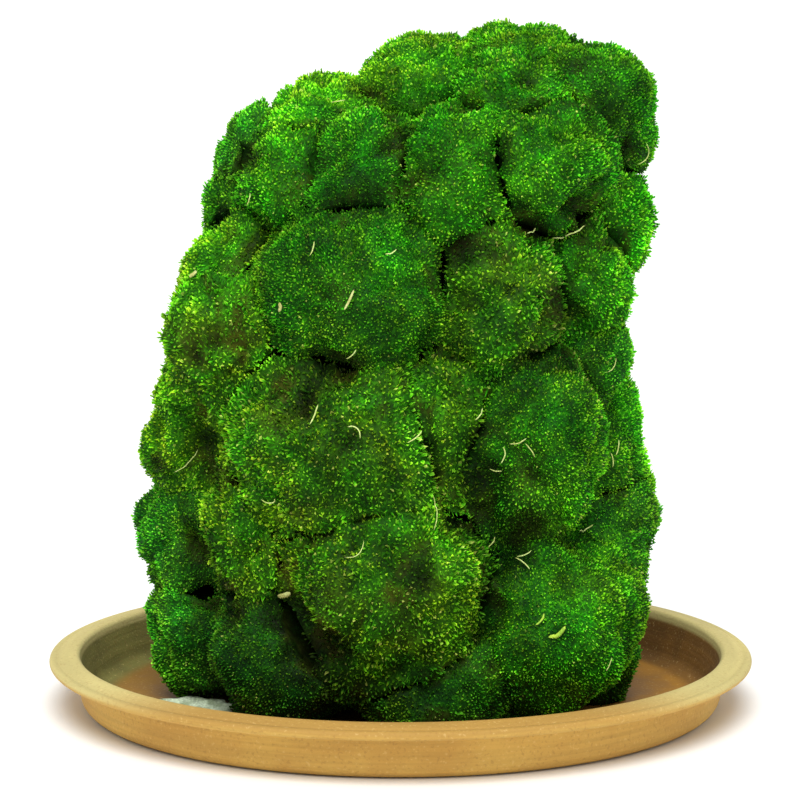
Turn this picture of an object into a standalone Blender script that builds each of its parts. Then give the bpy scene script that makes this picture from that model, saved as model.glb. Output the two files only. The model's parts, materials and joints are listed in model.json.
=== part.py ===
"""A clump of moss cushions piled up in a shallow terracotta saucer.

Metres, +Z up. The origin is the middle of the saucer's underside, and -Y is the clump's front.
"""

import math
from typing import NamedTuple

import bmesh
import bpy
from mathutils import Vector, noise

MM = 0.001

# The saucer, turned round Z
RIM_RADIUS = 150 * MM
SAUCER_HEIGHT = 24 * MM
LIP_WIDTH = 11 * MM
LIP_THICKNESS = 3.6 * MM
LIP_DROP = 1.6 * MM
CREST_WIDTH = 4 * MM
CREST_FALL = 0.5 * MM
INNER_ROUND = 2.2 * MM
UNDER_LIP_INSET = 1.6 * MM
WALL = 4 * MM
FLOOR_THICKNESS = 3.6 * MM
FOOT_RADIUS = 137 * MM
CORNER_RADIUS = 7 * MM
SAUCER_SEGMENTS = 48
CORNER_STEPS = 2
EDGE_STEPS = 4
STEEPEST = -15

# The greens of the moss, as they grow in the pile
MOSS_TONES = {
    "bright": (0.12, 0.27, 0.02),
    "fresh": (0.04, 0.24, 0.01),
    "deep": (0.025, 0.15, 0.01),
    "olive": (0.10, 0.18, 0.015),
    "shade": (0.015, 0.08, 0.015),
}

# The pile
GAP = 0.3 * MM
FLOOR_TOP = FLOOR_THICKNESS + GAP
HEART_LOW = Vector((-4, 0, 36)) * MM
HEART_HIGH = Vector((28, 4, 205)) * MM
TAIL_REACH = 1.5
ROUND_STEPS = 13
RINGS = (21, 42, 62, 82, 112)
LUMP_DEPTH = 0.14
LUMPS_ACROSS = 1.7
LEAST_SHARE = 0.2
SHORTEST_EDGE = 0.25 * MM
ON_PLANE = 0.001 * MM
CREASE = 40

# The scrap of pale lichen that lies on the saucer's floor
SCRAP_MIDDLE = Vector((-88, -37, 0)) * MM
SCRAP_LENGTH = 38 * MM
SCRAP_WIDTH = 24 * MM
SCRAP_THICKNESS = 1.4 * MM
SCRAP_CURL = 3.2 * MM
SCRAP_WAVES = ((9, 0.13, 0), (4, 0.08, 1))
SCRAP_RINGS = ((0, 0.5), (0, 1), (1, 1), (1, 0.5))
SCRAP_STEPS = 36


class Cushion(NamedTuple):
    """One moss cushion: its dome's middle and half sizes in millimetres, and its green."""

    name: str
    x: float
    y: float
    z: float
    half_width: float
    half_height: float
    bulge: float
    tone: str


FRONT_CUSHIONS = (
    Cushion("crown_front", 46, -22, 250, 29, 25, 26, "fresh"),
    Cushion("crown_left", 11, 4, 256, 32, 31, 28, "bright"),
    Cushion("crown_right", 80, -4, 254, 37, 33, 28, "deep"),
    Cushion("upper_left_ridge", -33, 0, 238, 37, 29, 27, "bright"),
    Cushion("upper_left_edge", -60, -3, 233, 23, 22, 20, "shade"),
    Cushion("upper_left_slope", -44, -29, 226, 25, 22, 23, "fresh"),
    Cushion("upper_left_shoulder", -64, -8, 211, 26, 19, 23, "deep"),
    Cushion("upper_middle_left", -13, -43, 229, 25, 28, 24, "deep"),
    Cushion("upper_middle", 21, -47, 229, 26, 33, 26, "fresh"),
    Cushion("upper_middle_right", 57, -45, 229, 27, 28, 25, "fresh"),
    Cushion("upper_right", 83, -12, 209, 27, 25, 22, "fresh"),
    Cushion("middle_left_top", -61, -22, 190, 30, 24, 26, "bright"),
    Cushion("middle_left_dome", -18, -56, 182, 44, 39, 33, "deep"),
    Cushion("middle_centre", 39, -59, 183, 28, 32, 28, "olive"),
    Cushion("middle_right", 70, -32, 188, 26, 24, 25, "fresh"),
    Cushion("left_flank", -70, -30, 158, 32, 31, 31, "olive"),
    Cushion("left_edge", -80, -10, 122, 31, 28, 29, "bright"),
    Cushion("centre_hollow", 18, -62, 132, 26, 34, 25, "olive"),
    Cushion("right_dome", 51, -57, 122, 32, 41, 34, "deep"),
    Cushion("right_flank", 70, -18, 152, 28, 24, 25, "shade"),
    Cushion("right_edge", 75, -8, 113, 29, 34, 27, "deep"),
    Cushion("front_big", -28, -63, 118, 47, 44, 36, "olive"),
    Cushion("front_left_drape", -57, -46, 84, 28, 31, 27, "olive"),
    Cushion("front_low", -7, -68, 65, 42, 45, 40, "olive"),
    Cushion("low_left", -81, -2, 74, 31, 31, 30, "shade"),
    Cushion("low_right", 79, -6, 76, 31, 37, 30, "shade"),
    Cushion("base_left", -77, -8, 33, 30, 29, 30, "shade"),
    Cushion("base_left_front", -48, -55, 33, 33, 31, 31, "shade"),
    Cushion("base_middle_front", 14, -66, 23, 32, 25, 29, "shade"),
    Cushion("base_right_front", 61, -46, 44, 39, 38, 37, "deep"),
    Cushion("base_right", 74, -6, 23, 28, 26, 27, "shade"),
)

BACK_CUSHIONS = (
    Cushion("crown_back", 56, 14, 258, 38, 36, 33, "bright"),
    Cushion("back_crown_left", 12, 38, 240, 31, 28, 28, "fresh"),
    Cushion("back_crown_right", 72, 34, 228, 31, 29, 28, "deep"),
    Cushion("back_shoulder_left", -34, 34, 212, 31, 29, 28, "bright"),
    Cushion("back_upper_middle", 26, 54, 194, 35, 33, 30, "deep"),
    Cushion("back_upper_left", -52, 34, 174, 33, 30, 30, "olive"),
    Cushion("back_upper_right", 67, 34, 182, 30, 29, 27, "fresh"),
    Cushion("back_middle_left", -72, 26, 136, 33, 31, 31, "fresh"),
    Cushion("back_middle", -16, 60, 146, 40, 37, 33, "olive"),
    Cushion("back_middle_right", 50, 52, 138, 38, 35, 32, "deep"),
    Cushion("back_low_left", -62, 44, 88, 36, 32, 32, "deep"),
    Cushion("back_low_middle", -2, 66, 86, 40, 35, 34, "fresh"),
    Cushion("back_low_right", 64, 46, 84, 36, 32, 32, "olive"),
    Cushion("back_base_left", -60, 42, 34, 37, 32, 33, "shade"),
    Cushion("back_base_middle", 2, 62, 30, 38, 30, 34, "deep"),
    Cushion("back_base_right", 58, 44, 34, 37, 32, 33, "shade"),
)


class Frame(NamedTuple):
    """A cushion's own directions and half sizes, in metres."""

    middle: Vector
    across: Vector
    up: Vector
    out: Vector
    half_width: float
    half_height: float
    bulge: float
    depth: float


def clear_scene():
    """Removes every object that the file starts with."""
    for thing in list(bpy.data.objects):
        bpy.data.objects.remove(thing)


def make_finish(name, colour, roughness):
    """A matt material with one colour, roughness and no metal."""
    finish = bpy.data.materials.new(name)
    finish.use_nodes = True
    shader = finish.node_tree.nodes["Principled BSDF"]
    shader.inputs["Base Color"].default_value = (*colour, 1)
    shader.inputs["Roughness"].default_value = roughness
    shader.inputs["Metallic"].default_value = 0
    finish.diffuse_color = (*colour, 1)
    return finish


def add_object(name, bm, finish):
    """Turns a bmesh into a smooth-shaded object and frees the bmesh."""
    mesh = bpy.data.meshes.new(name)
    bm.to_mesh(mesh)
    bm.free()
    mesh.materials.append(finish)
    mesh.shade_smooth()
    mesh.set_sharp_from_angle(angle=math.radians(CREASE))
    thing = bpy.data.objects.new(name, mesh)
    bpy.context.scene.collection.objects.link(thing)


def arc(middle_r, middle_z, radius, start, end, steps):
    """Points (r, z) on a round of the profile, from one angle to another in degrees."""
    points = []
    for i in range(steps + 1):
        angle = math.radians(start + (end - start) * i / steps)
        points.append((middle_r + radius * math.cos(angle), middle_z + radius * math.sin(angle)))
    return points


def saucer_profile():
    """The saucer's closed section as (r, z), from the underside's middle out, up and back in."""
    lip_inner = RIM_RADIUS - LIP_WIDTH
    edge_z = SAUCER_HEIGHT - LIP_DROP - LIP_THICKNESS / 2
    under_lip_z = edge_z - LIP_THICKNESS / 2
    foot_r = FOOT_RADIUS - CORNER_RADIUS
    edge_r = RIM_RADIUS - LIP_THICKNESS / 2
    inner_z = FLOOR_THICKNESS + CORNER_RADIUS
    foot = arc(foot_r, CORNER_RADIUS, CORNER_RADIUS, -90, STEEPEST, CORNER_STEPS)
    edge = arc(edge_r, edge_z, LIP_THICKNESS / 2, -90, 90, EDGE_STEPS)
    inner_corner = arc(foot_r - WALL, inner_z, CORNER_RADIUS, STEEPEST, -90, CORNER_STEPS)
    return [
        *foot,
        (lip_inner - UNDER_LIP_INSET, under_lip_z),
        *edge,
        (lip_inner + CREST_WIDTH, SAUCER_HEIGHT - CREST_FALL),
        (lip_inner, SAUCER_HEIGHT),
        (lip_inner - INNER_ROUND, SAUCER_HEIGHT - INNER_ROUND),
        *inner_corner,
    ]


def make_saucer(finish):
    """The saucer: its section turned round Z, closed by a vertex in the middle of each side."""
    bm = bmesh.new()
    rings = []
    for r, z in saucer_profile():
        ring = []
        for i in range(SAUCER_SEGMENTS):
            angle = 2 * math.pi * i / SAUCER_SEGMENTS
            ring.append(bm.verts.new((r * math.cos(angle), r * math.sin(angle), z)))
        rings.append(ring)
    join_rings(bm, rings, bm.verts.new((0, 0, 0)), bm.verts.new((0, 0, FLOOR_THICKNESS)))
    bmesh.ops.recalc_face_normals(bm, faces=bm.faces)
    add_object("saucer", bm, finish)


def join_rings(bm, rings, first_pole, last_pole):
    """Faces between rings of equal size, with a fan at each end."""
    count = len(rings[0])
    for i in range(count):
        j = (i + 1) % count
        bm.faces.new((first_pole, rings[0][j], rings[0][i]))
        for low, high in zip(rings, rings[1:]):
            bm.faces.new((low[i], low[j], high[j], high[i]))
        bm.faces.new((last_pole, rings[-1][i], rings[-1][j]))


def frame_of(cushion):
    """A cushion faces away from the heart of the pile and reaches back to it."""
    middle = Vector((cushion.x, cushion.y, cushion.z)) * MM
    share = (middle.z - HEART_LOW.z) / (HEART_HIGH.z - HEART_LOW.z)
    heart = HEART_LOW.lerp(HEART_HIGH, min(max(share, 0), 1))
    out = (middle - heart).normalized()
    across = Vector((0, 0, 1)).cross(out).normalized()
    return Frame(
        middle,
        across,
        out.cross(across),
        out,
        cushion.half_width * MM,
        cushion.half_height * MM,
        cushion.bulge * MM,
        (middle - heart).length * TAIL_REACH,
    )


def reach(frame, direction, half_depth):
    """How far an ellipsoid of the cushion's width and height reaches in a direction."""
    return 1 / math.sqrt(
        (direction.dot(frame.across) / frame.half_width) ** 2
        + (direction.dot(frame.up) / frame.half_height) ** 2
        + (direction.dot(frame.out) / half_depth) ** 2
    )


def lump(direction, seed):
    """A share by which the surface stands proud or sinks in one direction."""
    place = direction * LUMPS_ACROSS + Vector((seed * 3.7, seed * 1.3, 0))
    return 1 + LUMP_DEPTH * noise.noise(place)


def make_bun(frame, seed):
    """The whole lumpy form of a cushion, as rings round the way it faces."""
    bm = bmesh.new()

    def place(polar, turn):
        direction = (
            frame.across * (math.sin(polar) * math.cos(turn))
            + frame.up * (math.sin(polar) * math.sin(turn))
            + frame.out * math.cos(polar)
        )
        half_depth = frame.bulge if math.cos(polar) > 0 else frame.depth
        distance = reach(frame, direction, half_depth) * lump(direction, seed)
        return bm.verts.new(frame.middle + direction * distance)

    rings = []
    for index, polar in enumerate(RINGS):
        shift = 0.5 * (index % 2)
        turns = [2 * math.pi * (i + shift) / ROUND_STEPS for i in range(ROUND_STEPS)]
        rings.append([place(math.radians(polar), turn) for turn in turns])
    join_rings(bm, rings, place(0, 0), place(math.pi, 0))
    bmesh.ops.recalc_face_normals(bm, faces=bm.faces)
    return bm


def furthest(bm, middle, direction):
    """How far the mesh reaches from a point in a direction."""
    return max((vert.co - middle).dot(direction) for vert in bm.verts)


def cut_away(bm, point, direction):
    """Cuts off what lies past a plane and closes the cut."""
    bmesh.ops.bisect_plane(
        bm,
        geom=[*bm.verts, *bm.edges, *bm.faces],
        dist=ON_PLANE,
        plane_co=point,
        plane_no=direction,
        clear_outer=True,
    )
    open_edges = [edge for edge in bm.edges if edge.is_boundary]
    if open_edges:
        bmesh.ops.holes_fill(bm, edges=open_edges, sides=0)


def press_together(frames, buns):
    """Parts each two neighbours at the plane where their surfaces meet, with a small gap."""
    cuts = []
    for i, first in enumerate(frames):
        for j in range(i + 1, len(frames)):
            second = frames[j]
            between = second.middle - first.middle
            distance = between.length
            way = between / distance
            overlap = (
                furthest(buns[i], first.middle, way)
                + furthest(buns[j], second.middle, -way)
                - distance
            )
            if overlap < -GAP:
                continue
            radius = reach(first, way, first.bulge)
            other_radius = reach(second, way, second.bulge)
            share = (distance**2 + radius**2 - other_radius**2) / (2 * distance**2)
            meeting = first.middle + between * min(max(share, LEAST_SHARE), 1 - LEAST_SHARE)
            cuts.append((i, meeting - way * GAP / 2, way))
            cuts.append((j, meeting + way * GAP / 2, -way))
    for index, point, way in cuts:
        cut_away(buns[index], point, way)


def make_cushions():
    """Every moss cushion, pressed flat against its neighbours and the saucer's floor."""
    cushions = FRONT_CUSHIONS + BACK_CUSHIONS
    frames = [frame_of(cushion) for cushion in cushions]
    buns = [make_bun(frame, seed) for seed, frame in enumerate(frames)]
    press_together(frames, buns)
    for cushion, bun in zip(cushions, buns):
        cut_away(bun, Vector((0, 0, FLOOR_TOP)), Vector((0, 0, -1)))
        bmesh.ops.remove_doubles(bun, verts=bun.verts, dist=SHORTEST_EDGE)
        bmesh.ops.dissolve_degenerate(bun, edges=bun.edges, dist=SHORTEST_EDGE / 5)
        bmesh.ops.triangulate(bun, faces=bun.faces)
        finish = make_finish(f"moss_{cushion.name}", MOSS_TONES[cushion.tone], 0.9)
        add_object(f"cushion_{cushion.name}", bun, finish)


def scrap_point(angle, share, side):
    """A point of the scrap, a share of the way out to its wavy edge, under (0) or over (1) it."""
    waves = 1 + sum(depth * math.sin(count * angle + turn) for count, depth, turn in SCRAP_WAVES)
    curl = SCRAP_CURL * share**4 * (1 + math.sin(angle)) / 2
    return SCRAP_MIDDLE + Vector(
        (
            share * waves * SCRAP_LENGTH / 2 * math.cos(angle),
            share * waves * SCRAP_WIDTH / 2 * math.sin(angle),
            FLOOR_TOP + curl + side * SCRAP_THICKNESS,
        )
    )


def make_scrap(finish):
    """The scrap: a thin plate with a wavy edge that curls up at the back."""
    bm = bmesh.new()
    angles = [2 * math.pi * i / SCRAP_STEPS for i in range(SCRAP_STEPS)]
    rings = [
        [bm.verts.new(scrap_point(angle, share, side)) for angle in angles]
        for side, share in SCRAP_RINGS
    ]
    join_rings(
        bm, rings, bm.verts.new(scrap_point(0, 0, 0)), bm.verts.new(scrap_point(0, 0, 1))
    )
    bmesh.ops.recalc_face_normals(bm, faces=bm.faces)
    bmesh.ops.triangulate(bm, faces=bm.faces)
    add_object("lichen_scrap", bm, finish)


def main():
    """Builds the saucer, the cushions and the scrap."""
    clear_scene()
    make_saucer(make_finish("terracotta", (0.60, 0.33, 0.13), 0.75))
    make_cushions()
    make_scrap(make_finish("lichen", (0.55, 0.62, 0.48), 0.8))


main()
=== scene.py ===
"""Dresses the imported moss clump: shoots grown on every cushion, the turned saucer and what the moss has caught.

Metres, +Z up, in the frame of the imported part. -Y is the clump's front.
"""

import json
import logging
import math
import random
from dataclasses import dataclass, field
from enum import Enum
from typing import Any

import bmesh
import bpy
import numpy as np
from mathutils import Euler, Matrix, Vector, noise
from mathutils.bvhtree import BVHTree

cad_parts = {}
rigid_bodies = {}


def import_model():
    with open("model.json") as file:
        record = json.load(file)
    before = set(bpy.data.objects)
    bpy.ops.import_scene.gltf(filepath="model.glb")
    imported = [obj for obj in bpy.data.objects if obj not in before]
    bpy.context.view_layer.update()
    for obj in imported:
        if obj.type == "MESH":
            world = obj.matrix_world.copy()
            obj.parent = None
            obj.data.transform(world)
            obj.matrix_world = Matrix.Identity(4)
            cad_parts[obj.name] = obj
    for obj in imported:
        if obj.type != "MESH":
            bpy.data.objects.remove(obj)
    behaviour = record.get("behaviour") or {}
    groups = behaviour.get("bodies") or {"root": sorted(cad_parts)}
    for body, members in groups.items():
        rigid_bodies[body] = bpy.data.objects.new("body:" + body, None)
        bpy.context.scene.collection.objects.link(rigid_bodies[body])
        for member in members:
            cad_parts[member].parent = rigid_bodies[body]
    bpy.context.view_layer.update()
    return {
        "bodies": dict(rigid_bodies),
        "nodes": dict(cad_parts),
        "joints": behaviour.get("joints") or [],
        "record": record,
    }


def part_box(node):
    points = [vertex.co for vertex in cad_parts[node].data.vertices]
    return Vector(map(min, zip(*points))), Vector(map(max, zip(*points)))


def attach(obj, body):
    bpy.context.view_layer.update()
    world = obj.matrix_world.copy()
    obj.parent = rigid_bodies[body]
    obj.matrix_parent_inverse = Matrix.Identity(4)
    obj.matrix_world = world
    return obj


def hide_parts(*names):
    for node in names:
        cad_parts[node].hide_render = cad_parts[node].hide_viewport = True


MM = 0.001
BODY = "root"
BAKE_MAP = "OFBake"
RISE = "rise"
SHOOT = "shoot"
OPEN = "open"
CELL = "cell"
TOWARDS = "towards"
TINT_AND_LIGHT = "tint_and_light"
EARTH = "earth"
LIT = "lit"
NOISE_SEED = 3

Colour = tuple[float, float, float]
log = logging.getLogger("moss_clump")


class Wiring:
    """Adds nodes to one node tree and feeds their sockets."""

    def __init__(self, tree: bpy.types.NodeTree) -> None:
        """Takes over the tree, without the nodes that it came with."""
        self.tree = tree
        tree.nodes.clear()

    @staticmethod
    def socket(sockets: Any, name: str) -> bpy.types.NodeSocket:
        """The socket in use that has this name or identifier."""
        return next(s for s in sockets if s.enabled and name in (s.name, s.identifier))

    def feed(self, node: bpy.types.Node, name: str, value: Any) -> None:
        """Links or sets one input of a node.

        Args:
            node: The node that is fed.
            name: The input's name or identifier.
            value: Another node's output, or a constant.
        """
        into = self.socket(node.inputs, name)
        if isinstance(value, bpy.types.NodeSocket):
            self.tree.links.new(value, into)
        else:
            into.default_value = value

    def add(self, kind: str, feeds: dict[str, Any] | None = None, **settings: Any) -> bpy.types.Node:
        """Adds a node.

        Args:
            kind: Blender's name of the node type.
            feeds: What each of its inputs gets.
            **settings: The node's own properties.

        Returns:
            The new node.
        """
        node = self.tree.nodes.new(kind)
        for name, value in settings.items():
            setattr(node, name, value)
        for name, value in (feeds or {}).items():
            self.feed(node, name, value)
        return node

    def out(self, node: bpy.types.Node, name: str) -> bpy.types.NodeSocket:
        """One output of a node, by its name."""
        return self.socket(node.outputs, name)

    def combine(self, kind: str, operation: str, first: Any, second: Any) -> bpy.types.NodeSocket:
        """Joins two values in a node of Blender's own maths.

        Args:
            kind: The node type.
            operation: What it does.
            first: A number, a vector or a socket.
            second: A number, a vector or a socket.

        Returns:
            The outcome.
        """
        node = self.add(kind, operation=operation)
        for into, value in zip(node.inputs, (first, second)):
            if isinstance(value, bpy.types.NodeSocket):
                self.tree.links.new(value, into)
            else:
                into.default_value = value
        return node.outputs[0]

    def sum(self, operation: str, first: Any, second: Any) -> bpy.types.NodeSocket:
        """The outcome of one arithmetic operation on two numbers."""
        return self.combine("ShaderNodeMath", operation, first, second)


class Paint(Wiring):
    """The shader nodes of one material, from its patterns to its surface."""

    def __init__(self, name: str) -> None:
        """Makes the material and empties its tree."""
        self.material = bpy.data.materials.new(name)
        self.material.use_nodes = True
        super().__init__(self.material.node_tree)
        self.place = self.out(self.add("ShaderNodeTexCoord"), "Object")

    def attribute(self, name: str) -> bpy.types.NodeSocket:
        """A number that the mesh carries."""
        return self.out(self.add("ShaderNodeAttribute", attribute_name=name), "Fac")

    def grain(self, size: float, detail: float = 2, stretch: Vector | None = None) -> bpy.types.NodeSocket:
        """Noise fixed to the object.

        Args:
            size: How far apart its spots are, in metres.
            detail: How many finer layers it has.
            stretch: Scale along each axis, for streaks.

        Returns:
            A number around 0.5.
        """
        place = self.place
        if stretch is not None:
            mapping = self.add("ShaderNodeMapping", {"Vector": place, "Scale": stretch})
            place = self.out(mapping, "Vector")
        feeds = {"Vector": place, "Scale": 1 / size, "Detail": detail, "Roughness": 0.55}
        return self.out(self.add("ShaderNodeTexNoise", feeds), "Fac")

    def band(self, value: Any, low: float, high: float, start: float = 0, end: float = 1) -> bpy.types.NodeSocket:
        """Eases from start to end while value goes from low to high."""
        feeds = {"Value": value, "From Min": low, "From Max": high, "To Min": start, "To Max": end}
        node = self.add("ShaderNodeMapRange", feeds, interpolation_type="SMOOTHSTEP")
        return self.out(node, "Result")

    def mix(self, share: Any, first: Any, second: Any, blend: str = "MIX") -> bpy.types.NodeSocket:
        """Blends two colours.

        Args:
            share: How much of the second there is.
            first: A colour or a socket.
            second: A colour or a socket.
            blend: How the second acts on the first.

        Returns:
            The blended colour.
        """
        node = self.add("ShaderNodeMix", data_type="RGBA", blend_type=blend)
        for name, value in (("Factor", share), ("A", first), ("B", second)):
            self.feed(node, name, (*value, 1) if isinstance(value, tuple) else value)
        return self.out(node, "Result")

    def shaded(self, colour: Any, value: Any) -> bpy.types.NodeSocket:
        """The colour made lighter or darker by a number."""
        grey = self.add("ShaderNodeCombineColor", {"Red": value, "Green": value, "Blue": value})
        return self.mix(1.0, colour, self.out(grey, "Color"), "MULTIPLY")

    def finish(self, colour: Any, roughness: Any, height: Any, depth: float, specular: float) -> bpy.types.Material:
        """Ends the material in a Principled surface.

        Args:
            colour: Its base colour.
            roughness: Its roughness, a number or a socket.
            height: The relief that bump takes, from 0 to 1.
            depth: How deep that relief is, in metres.
            specular: The specular level.

        Returns:
            The finished material.
        """
        bump = self.add("ShaderNodeBump", {"Height": height, "Distance": depth, "Strength": 1.0})
        feeds = {"Base Color": colour, "Roughness": roughness, "Normal": self.out(bump, "Normal")}
        shader = self.add("ShaderNodeBsdfPrincipled", feeds)
        shader.inputs["Specular IOR Level"].default_value = specular
        self.add("ShaderNodeOutputMaterial", {"Surface": self.out(shader, "BSDF")})
        return self.material


@dataclass(frozen=True)
class MossFinish:
    """One tone of moss, from the dark between its shoots, partly painted shade, to their tips."""

    # gap_shade is the mass between the shoots: partly the darker lower stems, partly painted shade deep in the moss.
    gap_shade: Colour
    leaf: Colour
    leaf_turned: Colour
    tip: Colour
    brown_share: float
    dry_share: float
    brown: Colour = (0.064, 0.066, 0.005)
    brown_tips: float = 0.22
    dry: Colour = (0.42, 0.40, 0.10)
    patch_size: float = 26 * MM
    cloud_size: float = 44 * MM
    fleck_size: float = 3.2 * MM
    clump_size: float = 9 * MM
    warm_size: float = 14 * MM
    cool: Colour = (0.70, 0.98, 1.0)
    warm: Colour = (1.42, 1.02, 1.0)
    crown: Colour = (0.80, 0.99, 1.0)
    crown_from: float = 150 * MM
    crown_over: float = 80 * MM
    under_size: float = 1.3 * MM
    under_light: float = 0.30
    brown_size: float = 17 * MM
    # Painted shade: the moss darkens from clear down to low, near the saucer, to low_light.
    low: float = 12 * MM
    clear: float = 75 * MM
    low_light: float = 0.80

    @property
    def body(self) -> np.ndarray:
        """The colour that it has from a step away."""
        shares = ((self.leaf, 0.35), (self.leaf_turned, 0.25), (self.tip, 0.40))
        return sum(share * np.array(colour) for colour, share in shares)

    def material(self, name: str) -> bpy.types.Material:
        """Makes the material.

        Args:
            name: The material's name.

        Returns:
            A material that reads how far up its shoot a point is, the shoot's own number and how lit the place is; it
            paints shade into closed places, creases and dents, and low down near the saucer.
        """
        paint = Paint(name)
        rise = paint.attribute(RISE)
        shoot = paint.attribute(SHOOT)
        # painted_lit carries the painted shade of closed places, creases and dents.
        painted_lit = paint.attribute(LIT)
        patch = paint.band(paint.grain(self.patch_size, 3), 0.40, 0.62)
        fleck = paint.grain(self.fleck_size)
        leaf = paint.mix(patch, self.leaf, self.leaf_turned)
        under = paint.band(paint.grain(self.under_size, 1), 0.42, 0.62, 0.0, self.under_light)
        height = paint.sum("MAXIMUM", rise, under)
        # Low on the shoots and on the mass the colour goes to gap_shade, partly painted shade.
        green = paint.mix(paint.band(height, 0.10, 0.70), self.gap_shade, leaf)
        tips = paint.sum("MULTIPLY", paint.band(rise, 0.50, 0.95), paint.band(shoot, 0.0, 1.0, 0.15, 0.92))
        green = paint.mix(tips, green, self.tip)
        # tint_and_light carries each cushion's tone with its painted light and shade, and the dents' painted shade.
        tint_and_light = paint.out(paint.add("ShaderNodeAttribute", attribute_name=TINT_AND_LIGHT), "Color")
        green = paint.mix(1.0, green, tint_and_light, "MULTIPLY")
        warmth = paint.mix(paint.band(paint.grain(self.warm_size, 3), 0.36, 0.64), self.cool, self.warm)
        green = paint.mix(1.0, green, warmth, "MULTIPLY")
        up = paint.out(paint.add("ShaderNodeSeparateXYZ", {"Vector": paint.place}), "Z")
        high = paint.band(up, self.crown_from, self.crown_from + self.crown_over)
        green = paint.mix(high, green, paint.mix(1.0, green, self.crown, "MULTIPLY"))
        hidden = paint.band(painted_lit, 0.70, 0.35, 0.0, 1.0)
        earthy = paint.band(paint.grain(self.brown_size, 2), 0.48, 0.66, 0.12, 1.0)
        browning = paint.sum("MULTIPLY", paint.sum("MULTIPLY", hidden, earthy), self.brown_share)
        browning = paint.sum("MAXIMUM", browning, paint.attribute(EARTH))
        browning = paint.sum("MULTIPLY", browning, paint.band(rise, 0.2, 1.0, 1.0, self.brown_tips))
        green = paint.mix(browning, green, self.brown)
        turn = paint.sum("FRACT", paint.sum("MULTIPLY", shoot, 17.3), 0.0)
        dried = paint.band(turn, 1 - self.dry_share, 1 - self.dry_share / 2)
        dried = paint.sum("MULTIPLY", dried, paint.band(rise, 0.3, 1.0, 0.0, 0.75))
        green = paint.mix(dried, green, self.dry)
        light = paint.sum("MULTIPLY", paint.band(turn, 0.0, 1.0, 0.80, 1.20), paint.band(fleck, 0.3, 0.7, 0.8, 1.2))
        cloud = paint.sum("MULTIPLY", paint.grain(self.cloud_size, 3), 2.0)
        cloud = paint.band(cloud, 0.7, 1.3, 0.72, 1.34)
        clump = paint.band(paint.grain(self.clump_size, 3), 0.34, 0.66, 0.60, 1.42)
        light = paint.sum("MULTIPLY", paint.sum("MULTIPLY", light, cloud), clump)
        # Painted shade: darker where the place is closed, in the creases and in the dents.
        light = paint.sum("MULTIPLY", light, paint.band(painted_lit, 0.05, 0.75, 0.32, 1.0))
        # Painted shade near the saucer: darker towards the bottom.
        light = paint.sum("MULTIPLY", light, paint.band(up, self.low, self.clear, self.low_light, 1.0))
        roughness = paint.band(fleck, 0.3, 0.7, 0.62, 0.85)
        return paint.finish(paint.shaded(green, light), roughness, fleck, 0.4 * MM, 0.08)


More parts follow.
